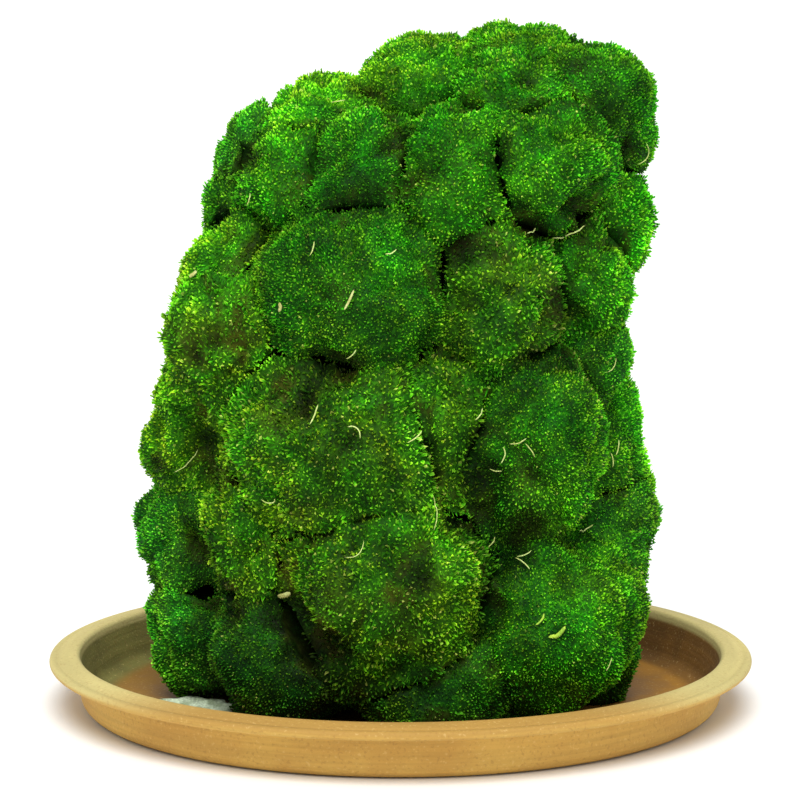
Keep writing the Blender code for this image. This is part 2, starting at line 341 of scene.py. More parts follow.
@dataclass(frozen=True)
class ClayFinish:
    """Unglazed terracotta: pale outside, partly painted light, with a painted highlight on its sunlit lip; dark within,
    greyer on the left, and damp near the moss.
    """

    # Painted light: the outer wall's colour is lighter than the clay's own, for the light from the front.
    lit_clay: Colour = (0.625, 0.385, 0.088)
    lit_clay_turned: Colour = (0.555, 0.318, 0.071)
    # Painted highlight: the sunlit lip is paler at its sides than at its front.
    sunlit_lip: Colour = (0.52, 0.45, 0.18)
    lip_front: Colour = (0.395, 0.225, 0.049)
    floor: Colour = (0.40, 0.185, 0.018)
    floor_left: Colour = (0.28, 0.145, 0.018)
    # Darker on the inner wall, greyer towards the left.
    inner_dark: Colour = (0.160, 0.073, 0.009)
    inner_dark_left: Colour = (0.165, 0.152, 0.036)
    damp: Colour = (0.20, 0.092, 0.016)
    speck: Colour = (0.30, 0.15, 0.04)
    pale_speck: Colour = (0.86, 0.62, 0.26)
    wall_middle: float = 133.35 * MM
    wall_flare: float = 0.176
    lip_low: float = 19.5 * MM
    damp_radius: float = 112 * MM
    wall_radius: float = 122 * MM

    def material(self, name: str) -> bpy.types.Material:
        """Makes the material.

        Args:
            name: The material's name.

        Returns:
            A material whose rings follow the distance from the saucer's axis.
        """
        paint = Paint(name)
        parts = paint.add("ShaderNodeSeparateXYZ", {"Vector": paint.place})
        across, ahead, height = parts.outputs
        flat = paint.add("ShaderNodeCombineXYZ", {"X": across, "Y": ahead})
        radius = paint.add("ShaderNodeVectorMath", operation="LENGTH")
        paint.tree.links.new(flat.outputs[0], radius.inputs[0])
        radius = radius.outputs["Value"]
        blotch = paint.band(paint.grain(38 * MM, 4), 0.36, 0.66)
        colour = paint.mix(blotch, self.lit_clay, self.lit_clay_turned)
        upright = paint.sum("SUBTRACT", radius, paint.sum("MULTIPLY", height, self.wall_flare))
        within = paint.band(upright, self.wall_middle + 0.7 * MM, self.wall_middle - 0.7 * MM)
        within = paint.sum("MULTIPLY", within, paint.band(height, 3.2 * MM, 3.5 * MM))
        left = paint.band(across, 20 * MM, -40 * MM)
        inner_dark = paint.mix(left, self.inner_dark, self.inner_dark_left)
        inner_dark = paint.shaded(inner_dark, paint.band(blotch, 0.0, 1.0, 0.8, 1.2))
        on_floor = paint.band(radius, self.wall_radius + 7 * MM, self.wall_radius - 2 * MM)
        floor = paint.mix(left, self.floor, self.floor_left)
        colour = paint.mix(within, colour, paint.mix(on_floor, inner_dark, floor))
        # Painted highlight on the lip, less at its front.
        front = paint.band(ahead, -70 * MM, -128 * MM)
        sunlit_lip = paint.mix(front, self.sunlit_lip, self.lip_front)
        on_lip = paint.sum("MULTIPLY", paint.band(height, self.lip_low, self.lip_low + 2 * MM), 0.92)
        colour = paint.mix(on_lip, colour, sunlit_lip)
        wander = paint.sum("MULTIPLY", paint.sum("SUBTRACT", paint.grain(30 * MM, 3), 0.5), 60 * MM)
        ring = paint.sum("ADD", radius, wander)
        wet = paint.band(ring, self.damp_radius + 14 * MM, self.damp_radius - 12 * MM, 0.0, 0.8)
        wet = paint.sum("MULTIPLY", wet, within)
        colour = paint.mix(wet, colour, self.damp)
        speckle = paint.grain(1.3 * MM, 1)
        colour = paint.mix(paint.band(speckle, 0.58, 0.72, 0.0, 0.30), colour, self.speck)
        colour = paint.mix(paint.band(speckle, 0.38, 0.26, 0.0, 0.22), colour, self.pale_speck)
        turned = paint.grain(9 * MM, 2, Vector((0.12, 0.12, 5)))
        colour = paint.shaded(colour, paint.band(turned, 0.3, 0.7, 0.92, 1.07))
        relief = paint.sum("ADD", paint.sum("MULTIPLY", speckle, 0.5), paint.sum("MULTIPLY", turned, 0.5))
        roughness = paint.band(wet, 0.0, 0.8, 0.74, 0.55)
        return paint.finish(colour, roughness, relief, 0.35 * MM, 0.3)


@dataclass(frozen=True)
class ScrapFinish:
    """A dry scrap: its two colours in blotches, and how rough it is."""

    pale: Colour
    dull: Colour
    blotch_size: float
    roughness: float = 0.7

    def material(self, name: str) -> bpy.types.Material:
        """Makes the material, blotched at the finish's own scale."""
        paint = Paint(name)
        blotch = paint.grain(self.blotch_size, 3)
        fine = paint.grain(self.blotch_size / 6, 1)
        colour = paint.mix(paint.band(blotch, 0.35, 0.65), self.pale, self.dull)
        colour = paint.shaded(colour, paint.band(fine, 0.3, 0.7, 0.75, 1.2))
        roughness = paint.band(fine, 0.3, 0.7, self.roughness - 0.1, self.roughness + 0.1)
        return paint.finish(colour, roughness, fine, 0.25 * MM, 0.35)


class Tone(Enum):
    """The tones of moss, by the record's slots."""

    BRIGHT = "moss_bright"
    FRESH = "moss_fresh"
    DEEP = "moss_deep"
    OLIVE = "moss_olive"
    SHADE = "moss_shade"


MOSS_FINISHES = {
    Tone.BRIGHT: MossFinish(
        gap_shade=(0.012, 0.080, 0.001),
        leaf=(0.140, 0.460, 0.003),
        leaf_turned=(0.075, 0.430, 0.003),
        tip=(0.470, 0.780, 0.032),
        brown_share=0.55,
        dry_share=0.06,
    ),
    Tone.FRESH: MossFinish(
        gap_shade=(0.008, 0.070, 0.001),
        leaf=(0.070, 0.430, 0.003),
        leaf_turned=(0.030, 0.390, 0.002),
        tip=(0.320, 0.700, 0.024),
        brown_share=0.45,
        dry_share=0.04,
    ),
    Tone.DEEP: MossFinish(
        gap_shade=(0.005, 0.050, 0.001),
        leaf=(0.026, 0.310, 0.002),
        leaf_turned=(0.062, 0.330, 0.002),
        tip=(0.230, 0.590, 0.022),
        brown_share=0.35,
        dry_share=0.03,
    ),
    Tone.OLIVE: MossFinish(
        gap_shade=(0.012, 0.062, 0.001),
        leaf=(0.095, 0.350, 0.003),
        leaf_turned=(0.050, 0.340, 0.002),
        tip=(0.350, 0.640, 0.026),
        brown_share=0.75,
        dry_share=0.08,
    ),
    Tone.SHADE: MossFinish(
        gap_shade=(0.004, 0.034, 0.002),
        leaf=(0.020, 0.200, 0.004),
        leaf_turned=(0.038, 0.230, 0.003),
        tip=(0.155, 0.440, 0.024),
        brown_share=0.40,
        dry_share=0.03,
    ),
}


@dataclass(frozen=True)
class Pile:
    """How thick and how fine a cushion's shoots stand."""

    spacing: float
    width: float
    length: float
    lean: float
    clump_size: float
    clump_depth: float


class Grain(Enum):
    """The kinds of surface that the cushions show."""

    VELVET = Pile(1.00 * MM, 0.92 * MM, 1.4 * MM, 0.45, 4.5 * MM, 0.9)
    FINE = Pile(1.08 * MM, 1.00 * MM, 1.55 * MM, 0.55, 5.5 * MM, 1.1)
    COARSE = Pile(1.22 * MM, 1.16 * MM, 1.85 * MM, 0.70, 6.5 * MM, 1.3)


# How much lighter or darker each cushion is: partly its own tone, partly painted light and shade, such as painted shade
# on base_left_front in the hollow under the overhang.
TONE_AND_PAINTED_LIGHT = {
    "crown_left": 1.18,
    "crown_right": 1.12,
    "crown_front": 0.98,
    "upper_left_ridge": 1.22,
    "upper_left_edge": 1.85,
    "upper_left_slope": 1.20,
    "upper_left_shoulder": 0.9,
    "upper_middle_left": 1.15,
    "upper_middle_right": 0.90,
    "upper_right": 1.55,
    "middle_left_top": 1.85,
    "left_flank": 1.25,
    "right_flank": 1.75,
    "right_edge": 1.45,
    "low_left": 1.75,
    "low_right": 1.70,
    "front_big": 0.92,
    "base_left": 2.1,
    "base_right_front": 1.25,
    "base_right": 1.35,
    "base_left_front": 0.62,
    "centre_hollow": 1.2,
}
GRAINS = {
    Tone.BRIGHT: Grain.FINE,
    Tone.FRESH: Grain.FINE,
    Tone.DEEP: Grain.VELVET,
    Tone.OLIVE: Grain.COARSE,
    Tone.SHADE: Grain.VELVET,
}


@dataclass(frozen=True)
class ShootForm:
    """One form of shoot, one wide and one tall, with its root a little under the moss."""

    name: str
    seed: int
    root: float = -0.35
    uneven: float = 0.28

    def ring(self, draw: random.Random, corners: list[tuple[float, float, float]]) -> list[Colour]:
        """Corners round the shoot, each a little off its place.

        Args:
            draw: The form's own random numbers.
            corners: For each the turn it stands at, its reach and its height.

        Returns:
            Their places.
        """
        found = []
        for turn, reach, height in corners:
            angle = math.tau * turn + draw.uniform(-0.2, 0.2)
            reach *= 1 + draw.uniform(-self.uneven, self.uneven)
            found.append((reach * math.cos(angle), reach * math.sin(angle), height))
        return found

    def shape(self, draw: random.Random) -> tuple[list[Colour], list[float], list[tuple[int, int, int]]]:
        """The form's points, how far up the shoot each is, and its faces."""
        raise NotImplementedError

    def object(self) -> bpy.types.Object:
        """Makes the shoot with its rise from root to tip and its place in one cell of the bake's map.

        Returns:
            An object linked to no collection yet.
        """
        points, rises, faces = self.shape(random.Random(self.seed))
        mesh = bpy.data.meshes.new(self.name)
        mesh.from_pydata(points, [], faces)
        mesh.attributes.new(RISE, "FLOAT", "POINT").data.foreach_set("value", rises)
        layer = mesh.uv_layers.new(name=BAKE_MAP)
        for face in mesh.polygons:
            for across, corner in zip((0.06, 0.94, 0.5), face.loop_indices):
                rise = rises[mesh.loops[corner].vertex_index]
                layer.data[corner].uv = (across, 0.05 + 0.9 * rise)
        return bpy.data.objects.new(self.name, mesh)


@dataclass(frozen=True)
class Spike(ShootForm):
    """A pointed shoot of three sides, widest at its root."""

    tip: float = 1.0
    lean: float = 0.2

    def shape(self, draw: random.Random) -> tuple[list[Colour], list[float], list[tuple[int, int, int]]]:
        """Four points and four faces."""
        foot = self.ring(draw, [(k / 3, 0.5, self.root) for k in range(3)])
        top = (draw.uniform(-self.lean, self.lean), draw.uniform(-self.lean, self.lean), self.tip)
        return [*foot, top], [0.04, 0.04, 0.0, 1.0], [(0, 1, 3), (1, 2, 3), (2, 0, 3), (1, 0, 2)]


@dataclass(frozen=True)
class Bud(ShootForm):
    """A shoot of three sides that widens up to a shoulder under its tip."""

    tip: float = 1.0
    shoulder: float = 0.62

    def shape(self, draw: random.Random) -> tuple[list[Colour], list[float], list[tuple[int, int, int]]]:
        """Five points and six faces."""
        around = self.ring(draw, [(k / 3, 0.5, self.shoulder + 0.12 * (k - 1)) for k in range(3)])
        points = [(0, 0, self.root), *around, (draw.uniform(-0.15, 0.15), draw.uniform(-0.15, 0.15), self.tip)]
        faces = []
        for k in range(3):
            here, there = 1 + k, 1 + (k + 1) % 3
            faces += [(here, there, 4), (there, here, 0)]
        return points, [0.0, 0.72, 0.76, 0.68, 1.0], faces


@dataclass(frozen=True)
class Star(ShootForm):
    """A crown of thin pointed leaves round a taller middle."""

    leaves: int = 3
    middle: float = 1.0
    leaf_height: float = 0.8
    leaf_reach: float = 0.78
    notch_reach: float = 0.17
    notch_height: float = 0.14

    def shape(self, draw: random.Random) -> tuple[list[Colour], list[float], list[tuple[int, int, int]]]:
        """Four faces for each leaf."""
        corners = []
        for leaf in range(self.leaves):
            height = self.leaf_height * (1 + draw.uniform(-self.uneven, self.uneven))
            corners.append((leaf / self.leaves, self.leaf_reach, height))
            corners.append(((leaf + 0.5) / self.leaves, self.notch_reach, self.notch_height))
        points = [(0, 0, self.root), (0, 0, self.middle), *self.ring(draw, corners)]
        rises = [0.0, 0.9] + [1.0, 0.3] * self.leaves
        faces = []
        for k in range(len(corners)):
            here, there = 2 + k, 2 + (k + 1) % len(corners)
            faces += [(1, here, there), (0, there, here)]
        return points, rises, faces


SHOOT_FORMS = (
    Spike("shoot_a_spike", 1),
    Bud("shoot_b_bud", 2),
    Spike("shoot_c_spike", 3, tip=1.15, lean=0.35),
    Spike("shoot_d_spike", 4, tip=1.05, lean=0.55),
    Bud("shoot_e_bud", 5, tip=0.9, shoulder=0.5),
    Spike("shoot_f_spike", 6, tip=0.85, lean=0.45),
    Bud("shoot_g_bud", 7, tip=1.2, shoulder=0.75),
    Star("shoot_h_star", 8, middle=1.2, leaf_height=0.7),
)


@dataclass(frozen=True)
class Dent:
    """A pocket in the moss, by its place in the frame, or a knoll where its depth is negative, with how brown it is and
    the painted shade that it lays on the moss; painted light where that is below 0.
    """

    x: float
    y: float
    radius: float
    depth: float
    brown: float = 0.15
    painted_shade: float = 1.0


# Each dent: place in the frame, radius, depth, brown and painted shade; negative painted shade is painted light.
DENTS = (
    Dent(466, 44, 9 * MM, -4 * MM),
    Dent(262, 100, 7 * MM, -1.5 * MM),
    Dent(245, 306, 14 * MM, -4 * MM),
    Dent(172, 388, 14 * MM, -5 * MM),
    Dent(196, 268, 10 * MM, -4 * MM),
    Dent(158, 468, 10 * MM, -5.5 * MM),
    Dent(158, 545, 10 * MM, -1.5 * MM),
    Dent(152, 602, 8 * MM, -3 * MM),
    Dent(642, 500, 10 * MM, -2.5 * MM),
    Dent(630, 600, 12 * MM, -4 * MM),
    Dent(335, 515, 10 * MM, -3 * MM, 0.0, -0.5),
    Dent(176, 325, 12 * MM, -1 * MM, 0.0, -0.7),
    Dent(240, 122, 9 * MM, -1 * MM, 0.0, -0.6),
    Dent(430, 255, 7 * MM, -1 * MM, 0.0, -0.5),
    Dent(618, 320, 10 * MM, -1 * MM, 0.0, -0.7),
    Dent(625, 350, 9 * MM, -1 * MM, 0.0, -0.6),
    Dent(628, 382, 9 * MM, -1 * MM, 0.0, -0.4),
    Dent(352, 62, 9 * MM, 2.5 * MM, 0.0, 0.0),
    Dent(302, 192, 7 * MM, 1 * MM, 0.2, 0.5),
    Dent(334, 288, 8 * MM, 1 * MM, 0.2, 0.5),
    Dent(455, 165, 9 * MM, 1 * MM, 0.1, 0.4),
    Dent(430, 190, 8 * MM, 1 * MM, 0.1, 0.4),
    Dent(590, 255, 7 * MM, 1 * MM, 0.1, 0.4),
    Dent(492, 668, 7 * MM, 1 * MM, 0.1, 0.4),
    Dent(590, 588, 10 * MM, 1 * MM, 0.1, 0.4),
    Dent(302, 508, 7 * MM, 1 * MM, 0.2, 0.4),
    Dent(245, 222, 8 * MM, -1 * MM, 0.0, -0.4),
    Dent(300, 590, 8 * MM, -1 * MM, 0.0, -0.4),
    Dent(432, 96, 9 * MM, -1 * MM, 0.0, -0.4),
    Dent(432, 448, 9 * MM, -1 * MM, 0.0, -0.6),
    Dent(496, 384, 8 * MM, -2 * MM, 0.0, -0.8),
    Dent(590, 322, 9 * MM, -2 * MM, 0.0, -0.5),
    Dent(622, 480, 9 * MM, -1 * MM, 0.0, -0.5),
    Dent(375, 512, 10 * MM, -3 * MM, 0.0, -0.5),
    Dent(425, 512, 9 * MM, -3 * MM, 0.0, -0.5),
    Dent(462, 545, 7 * MM, -2.5 * MM, 0.0, -0.5),
    Dent(494, 354, 9 * MM, -3 * MM, 0.0, -0.5),
    Dent(662, 92, 16 * MM, 2.5 * MM, 0.0, 0.0),
    Dent(664, 132, 14 * MM, 3 * MM, 0.0, 0.0),
    Dent(655, 200, 14 * MM, 2.5 * MM, 0.0, 0.0),
    Dent(650, 400, 10 * MM, 2 * MM, 0.0, 0.0),
    Dent(600, 24, 14 * MM, 2.5 * MM, 0.0, 0.0),
    Dent(226, 126, 8 * MM, 2.5 * MM, 0.0, 0.0),
    Dent(188, 224, 10 * MM, 7 * MM, 0.0, 0.2),
    Dent(130, 424, 13 * MM, 5 * MM, 0.0, 0.0),
    Dent(242, 156, 9 * MM, 9 * MM),
    Dent(214, 214, 5 * MM, 3 * MM),
    Dent(258, 252, 6 * MM, 3 * MM, 0.6, 0.6),
    Dent(246, 268, 6 * MM, 2 * MM, 0.5, 0.3),
    Dent(232, 232, 4 * MM, 2 * MM, 0.5, 0.5),
    Dent(373, 101, 4 * MM, 3 * MM, 0.3),
    Dent(392, 110, 5 * MM, 4 * MM),
    Dent(411, 104, 4 * MM, 3 * MM),
    Dent(405, 128, 4 * MM, 1.5 * MM, 0.7),
    Dent(463, 100, 4 * MM, 2 * MM, 0.6),
    Dent(391, 142, 5 * MM, 2 * MM),
    Dent(316, 158, 5 * MM, 2 * MM),
    Dent(352, 202, 8 * MM, 1 * MM, 0.1, 0.6),
    Dent(374, 200, 8 * MM, 1 * MM, 0.1, 0.6),
    Dent(456, 257, 7 * MM, 6 * MM),
    Dent(490, 252, 9 * MM, 1 * MM, 0.2, 0.5),
    Dent(468, 246, 7 * MM, 1 * MM, 0.2, 0.5),
    Dent(514, 206, 5 * MM, 5 * MM, 0.1, 0.8),
    Dent(530, 221, 5 * MM, 3 * MM, 0.1, 0.6),
    Dent(502, 148, 5 * MM, 3 * MM),
    Dent(530, 76, 5 * MM, 2 * MM),
    Dent(560, 62, 9 * MM, 1 * MM, 0.1, 0.5),
    Dent(590, 66, 9 * MM, 1 * MM, 0.1, 0.5),
    Dent(590, 125, 10 * MM, 1 * MM, 0.1, 0.4),
    Dent(502, 48, 4 * MM, 2 * MM),
    Dent(584, 216, 8 * MM, 12 * MM),
    Dent(596, 186, 4 * MM, 3 * MM),
    Dent(628, 156, 7 * MM, 6 * MM),
    Dent(617, 241, 4 * MM, 3 * MM),
    Dent(560, 320, 7 * MM, 3 * MM, 0.5, 0.6),
    Dent(562, 292, 6 * MM, 2 * MM, 0.4),
    Dent(558, 352, 7 * MM, 4 * MM),
    Dent(521, 357, 3 * MM, 2 * MM),
    Dent(588, 380, 6 * MM, 3 * MM),
    Dent(366, 96, 8 * MM, 1 * MM, 0.2, 0.6),
    Dent(192, 338, 7 * MM, 4 * MM, 0.5),
    Dent(225, 330, 6 * MM, 3 * MM, 0.6, 0.6),
    Dent(243, 340, 5 * MM, 2 * MM, 0.5, 0.5),
    Dent(190, 358, 5 * MM, 3 * MM, 0.5),
    Dent(206, 444, 9 * MM, 8 * MM),
    Dent(210, 474, 8 * MM, 4 * MM, 0.2, 0.7),
    Dent(160, 462, 5 * MM, 1 * MM, 0.3),
    Dent(300, 373, 8 * MM, 3 * MM, 0.15, 0.5),
    Dent(330, 372, 8 * MM, 2 * MM, 0.15, 0.4),
    Dent(354, 366, 7 * MM, 2 * MM, 0.15, 0.4),
    Dent(300, 392, 5 * MM, 2 * MM, 0.6),
    Dent(350, 440, 6 * MM, 2 * MM, 0.15, 0.5),
    Dent(272, 412, 8 * MM, 1 * MM, 0.3, 0.5),
    Dent(188, 542, 9 * MM, 6 * MM, 0.1, 0.7),
    Dent(204, 556, 9 * MM, 6 * MM, 0.1, 0.5),
    Dent(206, 588, 9 * MM, 6 * MM, 0.1, 0.6),
    Dent(228, 606, 9 * MM, 4 * MM),
    Dent(283, 610, 9 * MM, 5 * MM),
    Dent(310, 640, 9 * MM, 5 * MM),
    Dent(330, 655, 8 * MM, 4 * MM),
    Dent(330, 602, 8 * MM, 1 * MM, 0.3, 0.5),
    Dent(395, 606, 10 * MM, 1 * MM, 0.2, 0.6),
    Dent(404, 640, 8 * MM, 1 * MM, 0.2, 0.4),
    Dent(425, 582, 9 * MM, 1 * MM, 0.2, 0.5),
    Dent(466, 512, 6 * MM, 7 * MM),
    Dent(482, 478, 6 * MM, 4 * MM),
    Dent(526, 480, 8 * MM, 1 * MM, 0.2, 0.6),
    Dent(498, 566, 5 * MM, 7 * MM, 0.1, 0.8),
    Dent(490, 600, 5 * MM, 6 * MM, 0.1, 0.8),
    Dent(479, 636, 5 * MM, 4 * MM, 0.1, 0.7),
    Dent(524, 528, 8 * MM, 3 * MM, 0.3),
    Dent(420, 545, 5 * MM, 1 * MM, 0.3, 0.5),
    Dent(408, 570, 6 * MM, 2 * MM),
)


class ShootTree:
    """The Geometry Nodes tree that grows shoots on a cushion's open side."""

    NUMBERS = (
        ("Spacing", 2 * MM),
        ("Crowding", 0.5e6),
        ("Width", 1.3 * MM),
        ("Length", 3 * MM),
        ("Lean", 0.4),
        ("Lift", 0.2),
        ("Least open", 0.08),
        ("Well open", 0.3),
        ("Clump size", 5 * MM),
        ("Clump depth", 1.0),
    )

    def __init__(self) -> None:
        """Builds the tree and the collection of shoot forms that it picks from."""
        self.forms = bpy.data.collections.new("shoot_forms")
        for form in SHOOT_FORMS:
            self.forms.objects.link(form.object())
        self.tree = bpy.data.node_groups.new("moss_shoots", "GeometryNodeTree")
        self.inputs: dict[str, str] = {}
        self.declare()
        self.wire()

    def declare(self) -> None:
        """Gives the tree its named inputs and its output."""
        face = self.tree.interface
        face.new_socket("Cushion", in_out="INPUT", socket_type="NodeSocketGeometry")
        for name, default in self.NUMBERS:
            made = face.new_socket(name, in_out="INPUT", socket_type="NodeSocketFloat")
            made.default_value = default
            self.inputs[name] = made.identifier
        for name, kind in (("Seed", "Int"), ("Forms", "Collection"), ("Finish", "Material")):
            made = face.new_socket(name, in_out="INPUT", socket_type="NodeSocket" + kind)
            self.inputs[name] = made.identifier
        face.new_socket("Grown", in_out="OUTPUT", socket_type="NodeSocketGeometry")

    def draw(self, wiring: Wiring, low: Any, high: Any, turn: int, seed: Any, kind: str = "FLOAT") -> Any:
        """One random draw for each shoot.

        Args:
            wiring: The tree's wiring.
            low: The least value.
            high: The greatest value.
            turn: Keeps this draw apart from the others.
            seed: The tree's seed socket.
            kind: Blender's data type for the value.

        Returns:
            The socket of the drawn value.
        """
        own = wiring.add("ShaderNodeMath", operation="ADD")
        wiring.tree.links.new(seed, own.inputs[0])
        own.inputs[1].default_value = 100 * turn
        node = wiring.add("FunctionNodeRandomValue", data_type=kind)
        wiring.feed(node, "Min", low)
        wiring.feed(node, "Max", high)
        wiring.feed(node, "Seed", own.outputs[0])
        return wiring.out(node, "Value")

    def wire(self) -> None:
        """Scatters, turns, sizes and joins the shoots, and numbers them for the bake's map."""
        wiring = Wiring(self.tree)
        given = wiring.add("NodeGroupInput").outputs
        seed = given["Seed"]
        how_open = wiring.add("GeometryNodeInputNamedAttribute", {"Name": OPEN}, data_type="FLOAT")
        how_open = wiring.out(how_open, "Attribute")
        feeds = {"Value": how_open, "From Min": given["Least open"], "From Max": given["Well open"]}
        share = wiring.out(wiring.add("ShaderNodeMapRange", feeds), "Result")
        spread = wiring.add("GeometryNodeDistributePointsOnFaces", distribute_method="POISSON")
        wiring.feed(spread, "Mesh", given["Cushion"])
        wiring.feed(spread, "Distance Min", given["Spacing"])
        wiring.feed(spread, "Density Max", given["Crowding"])
        wiring.feed(spread, "Density Factor", share)
        wiring.feed(spread, "Seed", seed)
        lift = wiring.add("ShaderNodeCombineXYZ", {"Z": given["Lift"]})
        sway = self.draw(wiring, (-1, -1, -1), (1, 1, 1), 1, seed, "FLOAT_VECTOR")
        lean = wiring.add("ShaderNodeVectorMath", operation="SCALE")
        wiring.tree.links.new(sway, lean.inputs[0])
        wiring.feed(lean, "Scale", given["Lean"])
        upright = wiring.add("ShaderNodeVectorMath", operation="ADD")
        towards = wiring.add("GeometryNodeInputNamedAttribute", {"Name": TOWARDS}, data_type="FLOAT_VECTOR")
        wiring.tree.links.new(wiring.out(towards, "Attribute"), upright.inputs[0])
        wiring.tree.links.new(lift.outputs[0], upright.inputs[1])
        towards = wiring.add("ShaderNodeVectorMath", operation="ADD")
        wiring.tree.links.new(upright.outputs[0], towards.inputs[0])
        wiring.tree.links.new(lean.outputs[0], towards.inputs[1])
        stand = wiring.add("FunctionNodeAlignRotationToVector", {"Vector": towards.outputs[0]}, axis="Z")
        turn = wiring.add("ShaderNodeCombineXYZ", {"Z": self.draw(wiring, 0.0, math.tau, 2, seed)})
        spin = wiring.add("FunctionNodeEulerToRotation", {"Euler": turn.outputs[0]})
        feeds = {"Rotation": wiring.out(stand, "Rotation"), "Rotate By": wiring.out(spin, "Rotation")}
        turned = wiring.add("FunctionNodeRotateRotation", feeds, rotation_space="LOCAL")
        sizes = []
        for name, turn_number in (("Width", 3), ("Width", 4), ("Length", 5)):
            drawn = self.draw(wiring, 0.7, 1.25, turn_number, seed)
            sizes.append(wiring.sum("MULTIPLY", given[name], drawn))
        fineness = wiring.sum("DIVIDE", 1.0, given["Clump size"])
        clumps = wiring.add("ShaderNodeTexNoise", {"Scale": fineness, "Detail": 1.0})
        swing = wiring.sum("SUBTRACT", wiring.out(clumps, "Fac"), 0.5)
        swing = wiring.sum("MULTIPLY", swing, given["Clump depth"])
        swing = wiring.sum("MULTIPLY", swing, 2.0)
        sizes[2] = wiring.sum("MULTIPLY", sizes[2], wiring.sum("ADD", swing, 1.0))
        size = wiring.add("ShaderNodeCombineXYZ", dict(zip("XYZ", sizes)))
        forms = wiring.add("GeometryNodeCollectionInfo", {"Collection": given["Forms"]})
        wiring.feed(forms, "Separate Children", True)
        wiring.feed(forms, "Reset Children", True)
        pick = self.draw(wiring, 0, len(SHOOT_FORMS) - 1, 6, seed, "INT")
        shoots = wiring.add("GeometryNodeInstanceOnPoints", {"Points": wiring.out(spread, "Points")})
        wiring.feed(shoots, "Instance", wiring.out(forms, "Instances"))
        wiring.feed(shoots, "Pick Instance", True)
        wiring.feed(shoots, "Instance Index", pick)
        wiring.feed(shoots, "Rotation", wiring.out(turned, "Rotation"))
        wiring.feed(shoots, "Scale", size.outputs[0])
        grown = wiring.out(shoots, "Instances")
        number = wiring.out(wiring.add("GeometryNodeInputIndex"), "Index")
        for name, kind, value in (
            (SHOOT, "FLOAT", self.draw(wiring, 0.0, 1.0, 7, seed)),
            (CELL, "INT", number),
        ):
            kept = wiring.add("GeometryNodeStoreNamedAttribute", data_type=kind, domain="INSTANCE")
            wiring.feed(kept, "Geometry", grown)
            wiring.feed(kept, "Name", name)
            wiring.feed(kept, "Value", value)
            grown = wiring.out(kept, "Geometry")
        joined = wiring.add("GeometryNodeJoinGeometry")
        wiring.tree.links.new(grown, joined.inputs[0])
        wiring.tree.links.new(given["Cushion"], joined.inputs[0])
        real = wiring.add("GeometryNodeRealizeInstances", {"Geometry": joined.outputs[0]})
        dressed = wiring.add("GeometryNodeSetMaterial", {"Geometry": wiring.out(real, "Geometry")})
        wiring.feed(dressed, "Material", given["Finish"])
        wiring.add("NodeGroupOutput", {"Grown": wiring.out(dressed, "Geometry")})

    def grow(self, cushion: bpy.types.Object, values: dict[str, Any]) -> bpy.types.Mesh:
        """Grows the shoots on a cushion.

        Args:
            cushion: The cushion's own mass, which carries how open each vertex is.
            values: What the tree's named inputs get.

        Returns:
            A plain mesh of the cushion and its shoots.
        """
        modifier = cushion.modifiers.new("shoots", "NODES")
        modifier.node_group = self.tree
        for name, value in {**values, "Forms": self.forms}.items():
            modifier[self.inputs[name]] = value
        return applied(cushion)


def applied(thing: bpy.types.Object) -> bpy.types.Mesh:
    """The object's mesh with its modifiers applied, which are then removed."""
    depsgraph = bpy.context.evaluated_depsgraph_get()
    mesh = bpy.data.meshes.new_from_object(thing.evaluated_get(depsgraph), depsgraph=depsgraph)
    thing.modifiers.clear()
    return mesh


def shown(name: str, mesh: bpy.types.Mesh) -> bpy.types.Object:
    """Puts a mesh into the scene as an object of that name, at the origin."""
    thing = bpy.data.objects.new(name, mesh)
    bpy.context.scene.collection.objects.link(thing)
    return thing


def on_part(piece: bpy.types.Object, node: str | None = None) -> None:
    """Makes a finished piece part of the object.

    Args:
        piece: The finished piece.
        node: The CAD node that it stands for.
    """
    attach(piece, BODY)
    if node:
        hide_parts(node)
    log.info("%s: %d faces", piece.name, len(piece.data.polygons))


def read(data: Any, name: str, width: int, kind: type = np.float32) -> np.ndarray:
    """Reads one property of many elements.

    Args:
        data: Vertices, loops, faces or an attribute's values.
        name: The property.
        width: How many numbers each has.
        kind: Their type.

    Returns:
        One row for each element, or a flat array where width is 1.
    """
    values = np.zeros(len(data) * width, kind)
    data.foreach_get(name, values)
    return values.reshape(-1, width) if width > 1 else values


def smooth(values: np.ndarray, low: float, high: float) -> np.ndarray:
    """Eases from 0 to 1 while the values go from low to high."""
    share = np.clip((values - low) / (high - low), 0, 1)
    return share * share * (3 - 2 * share)


def dome(count: int) -> np.ndarray:
    """Directions spread evenly over the upper half of a ball."""
    step = np.arange(count) + 0.5
    up = step / count
    around = step * math.pi * (3 - math.sqrt(5))
    flat = np.sqrt(1 - up**2)
    return np.stack([flat * np.cos(around), flat * np.sin(around), up], 1)


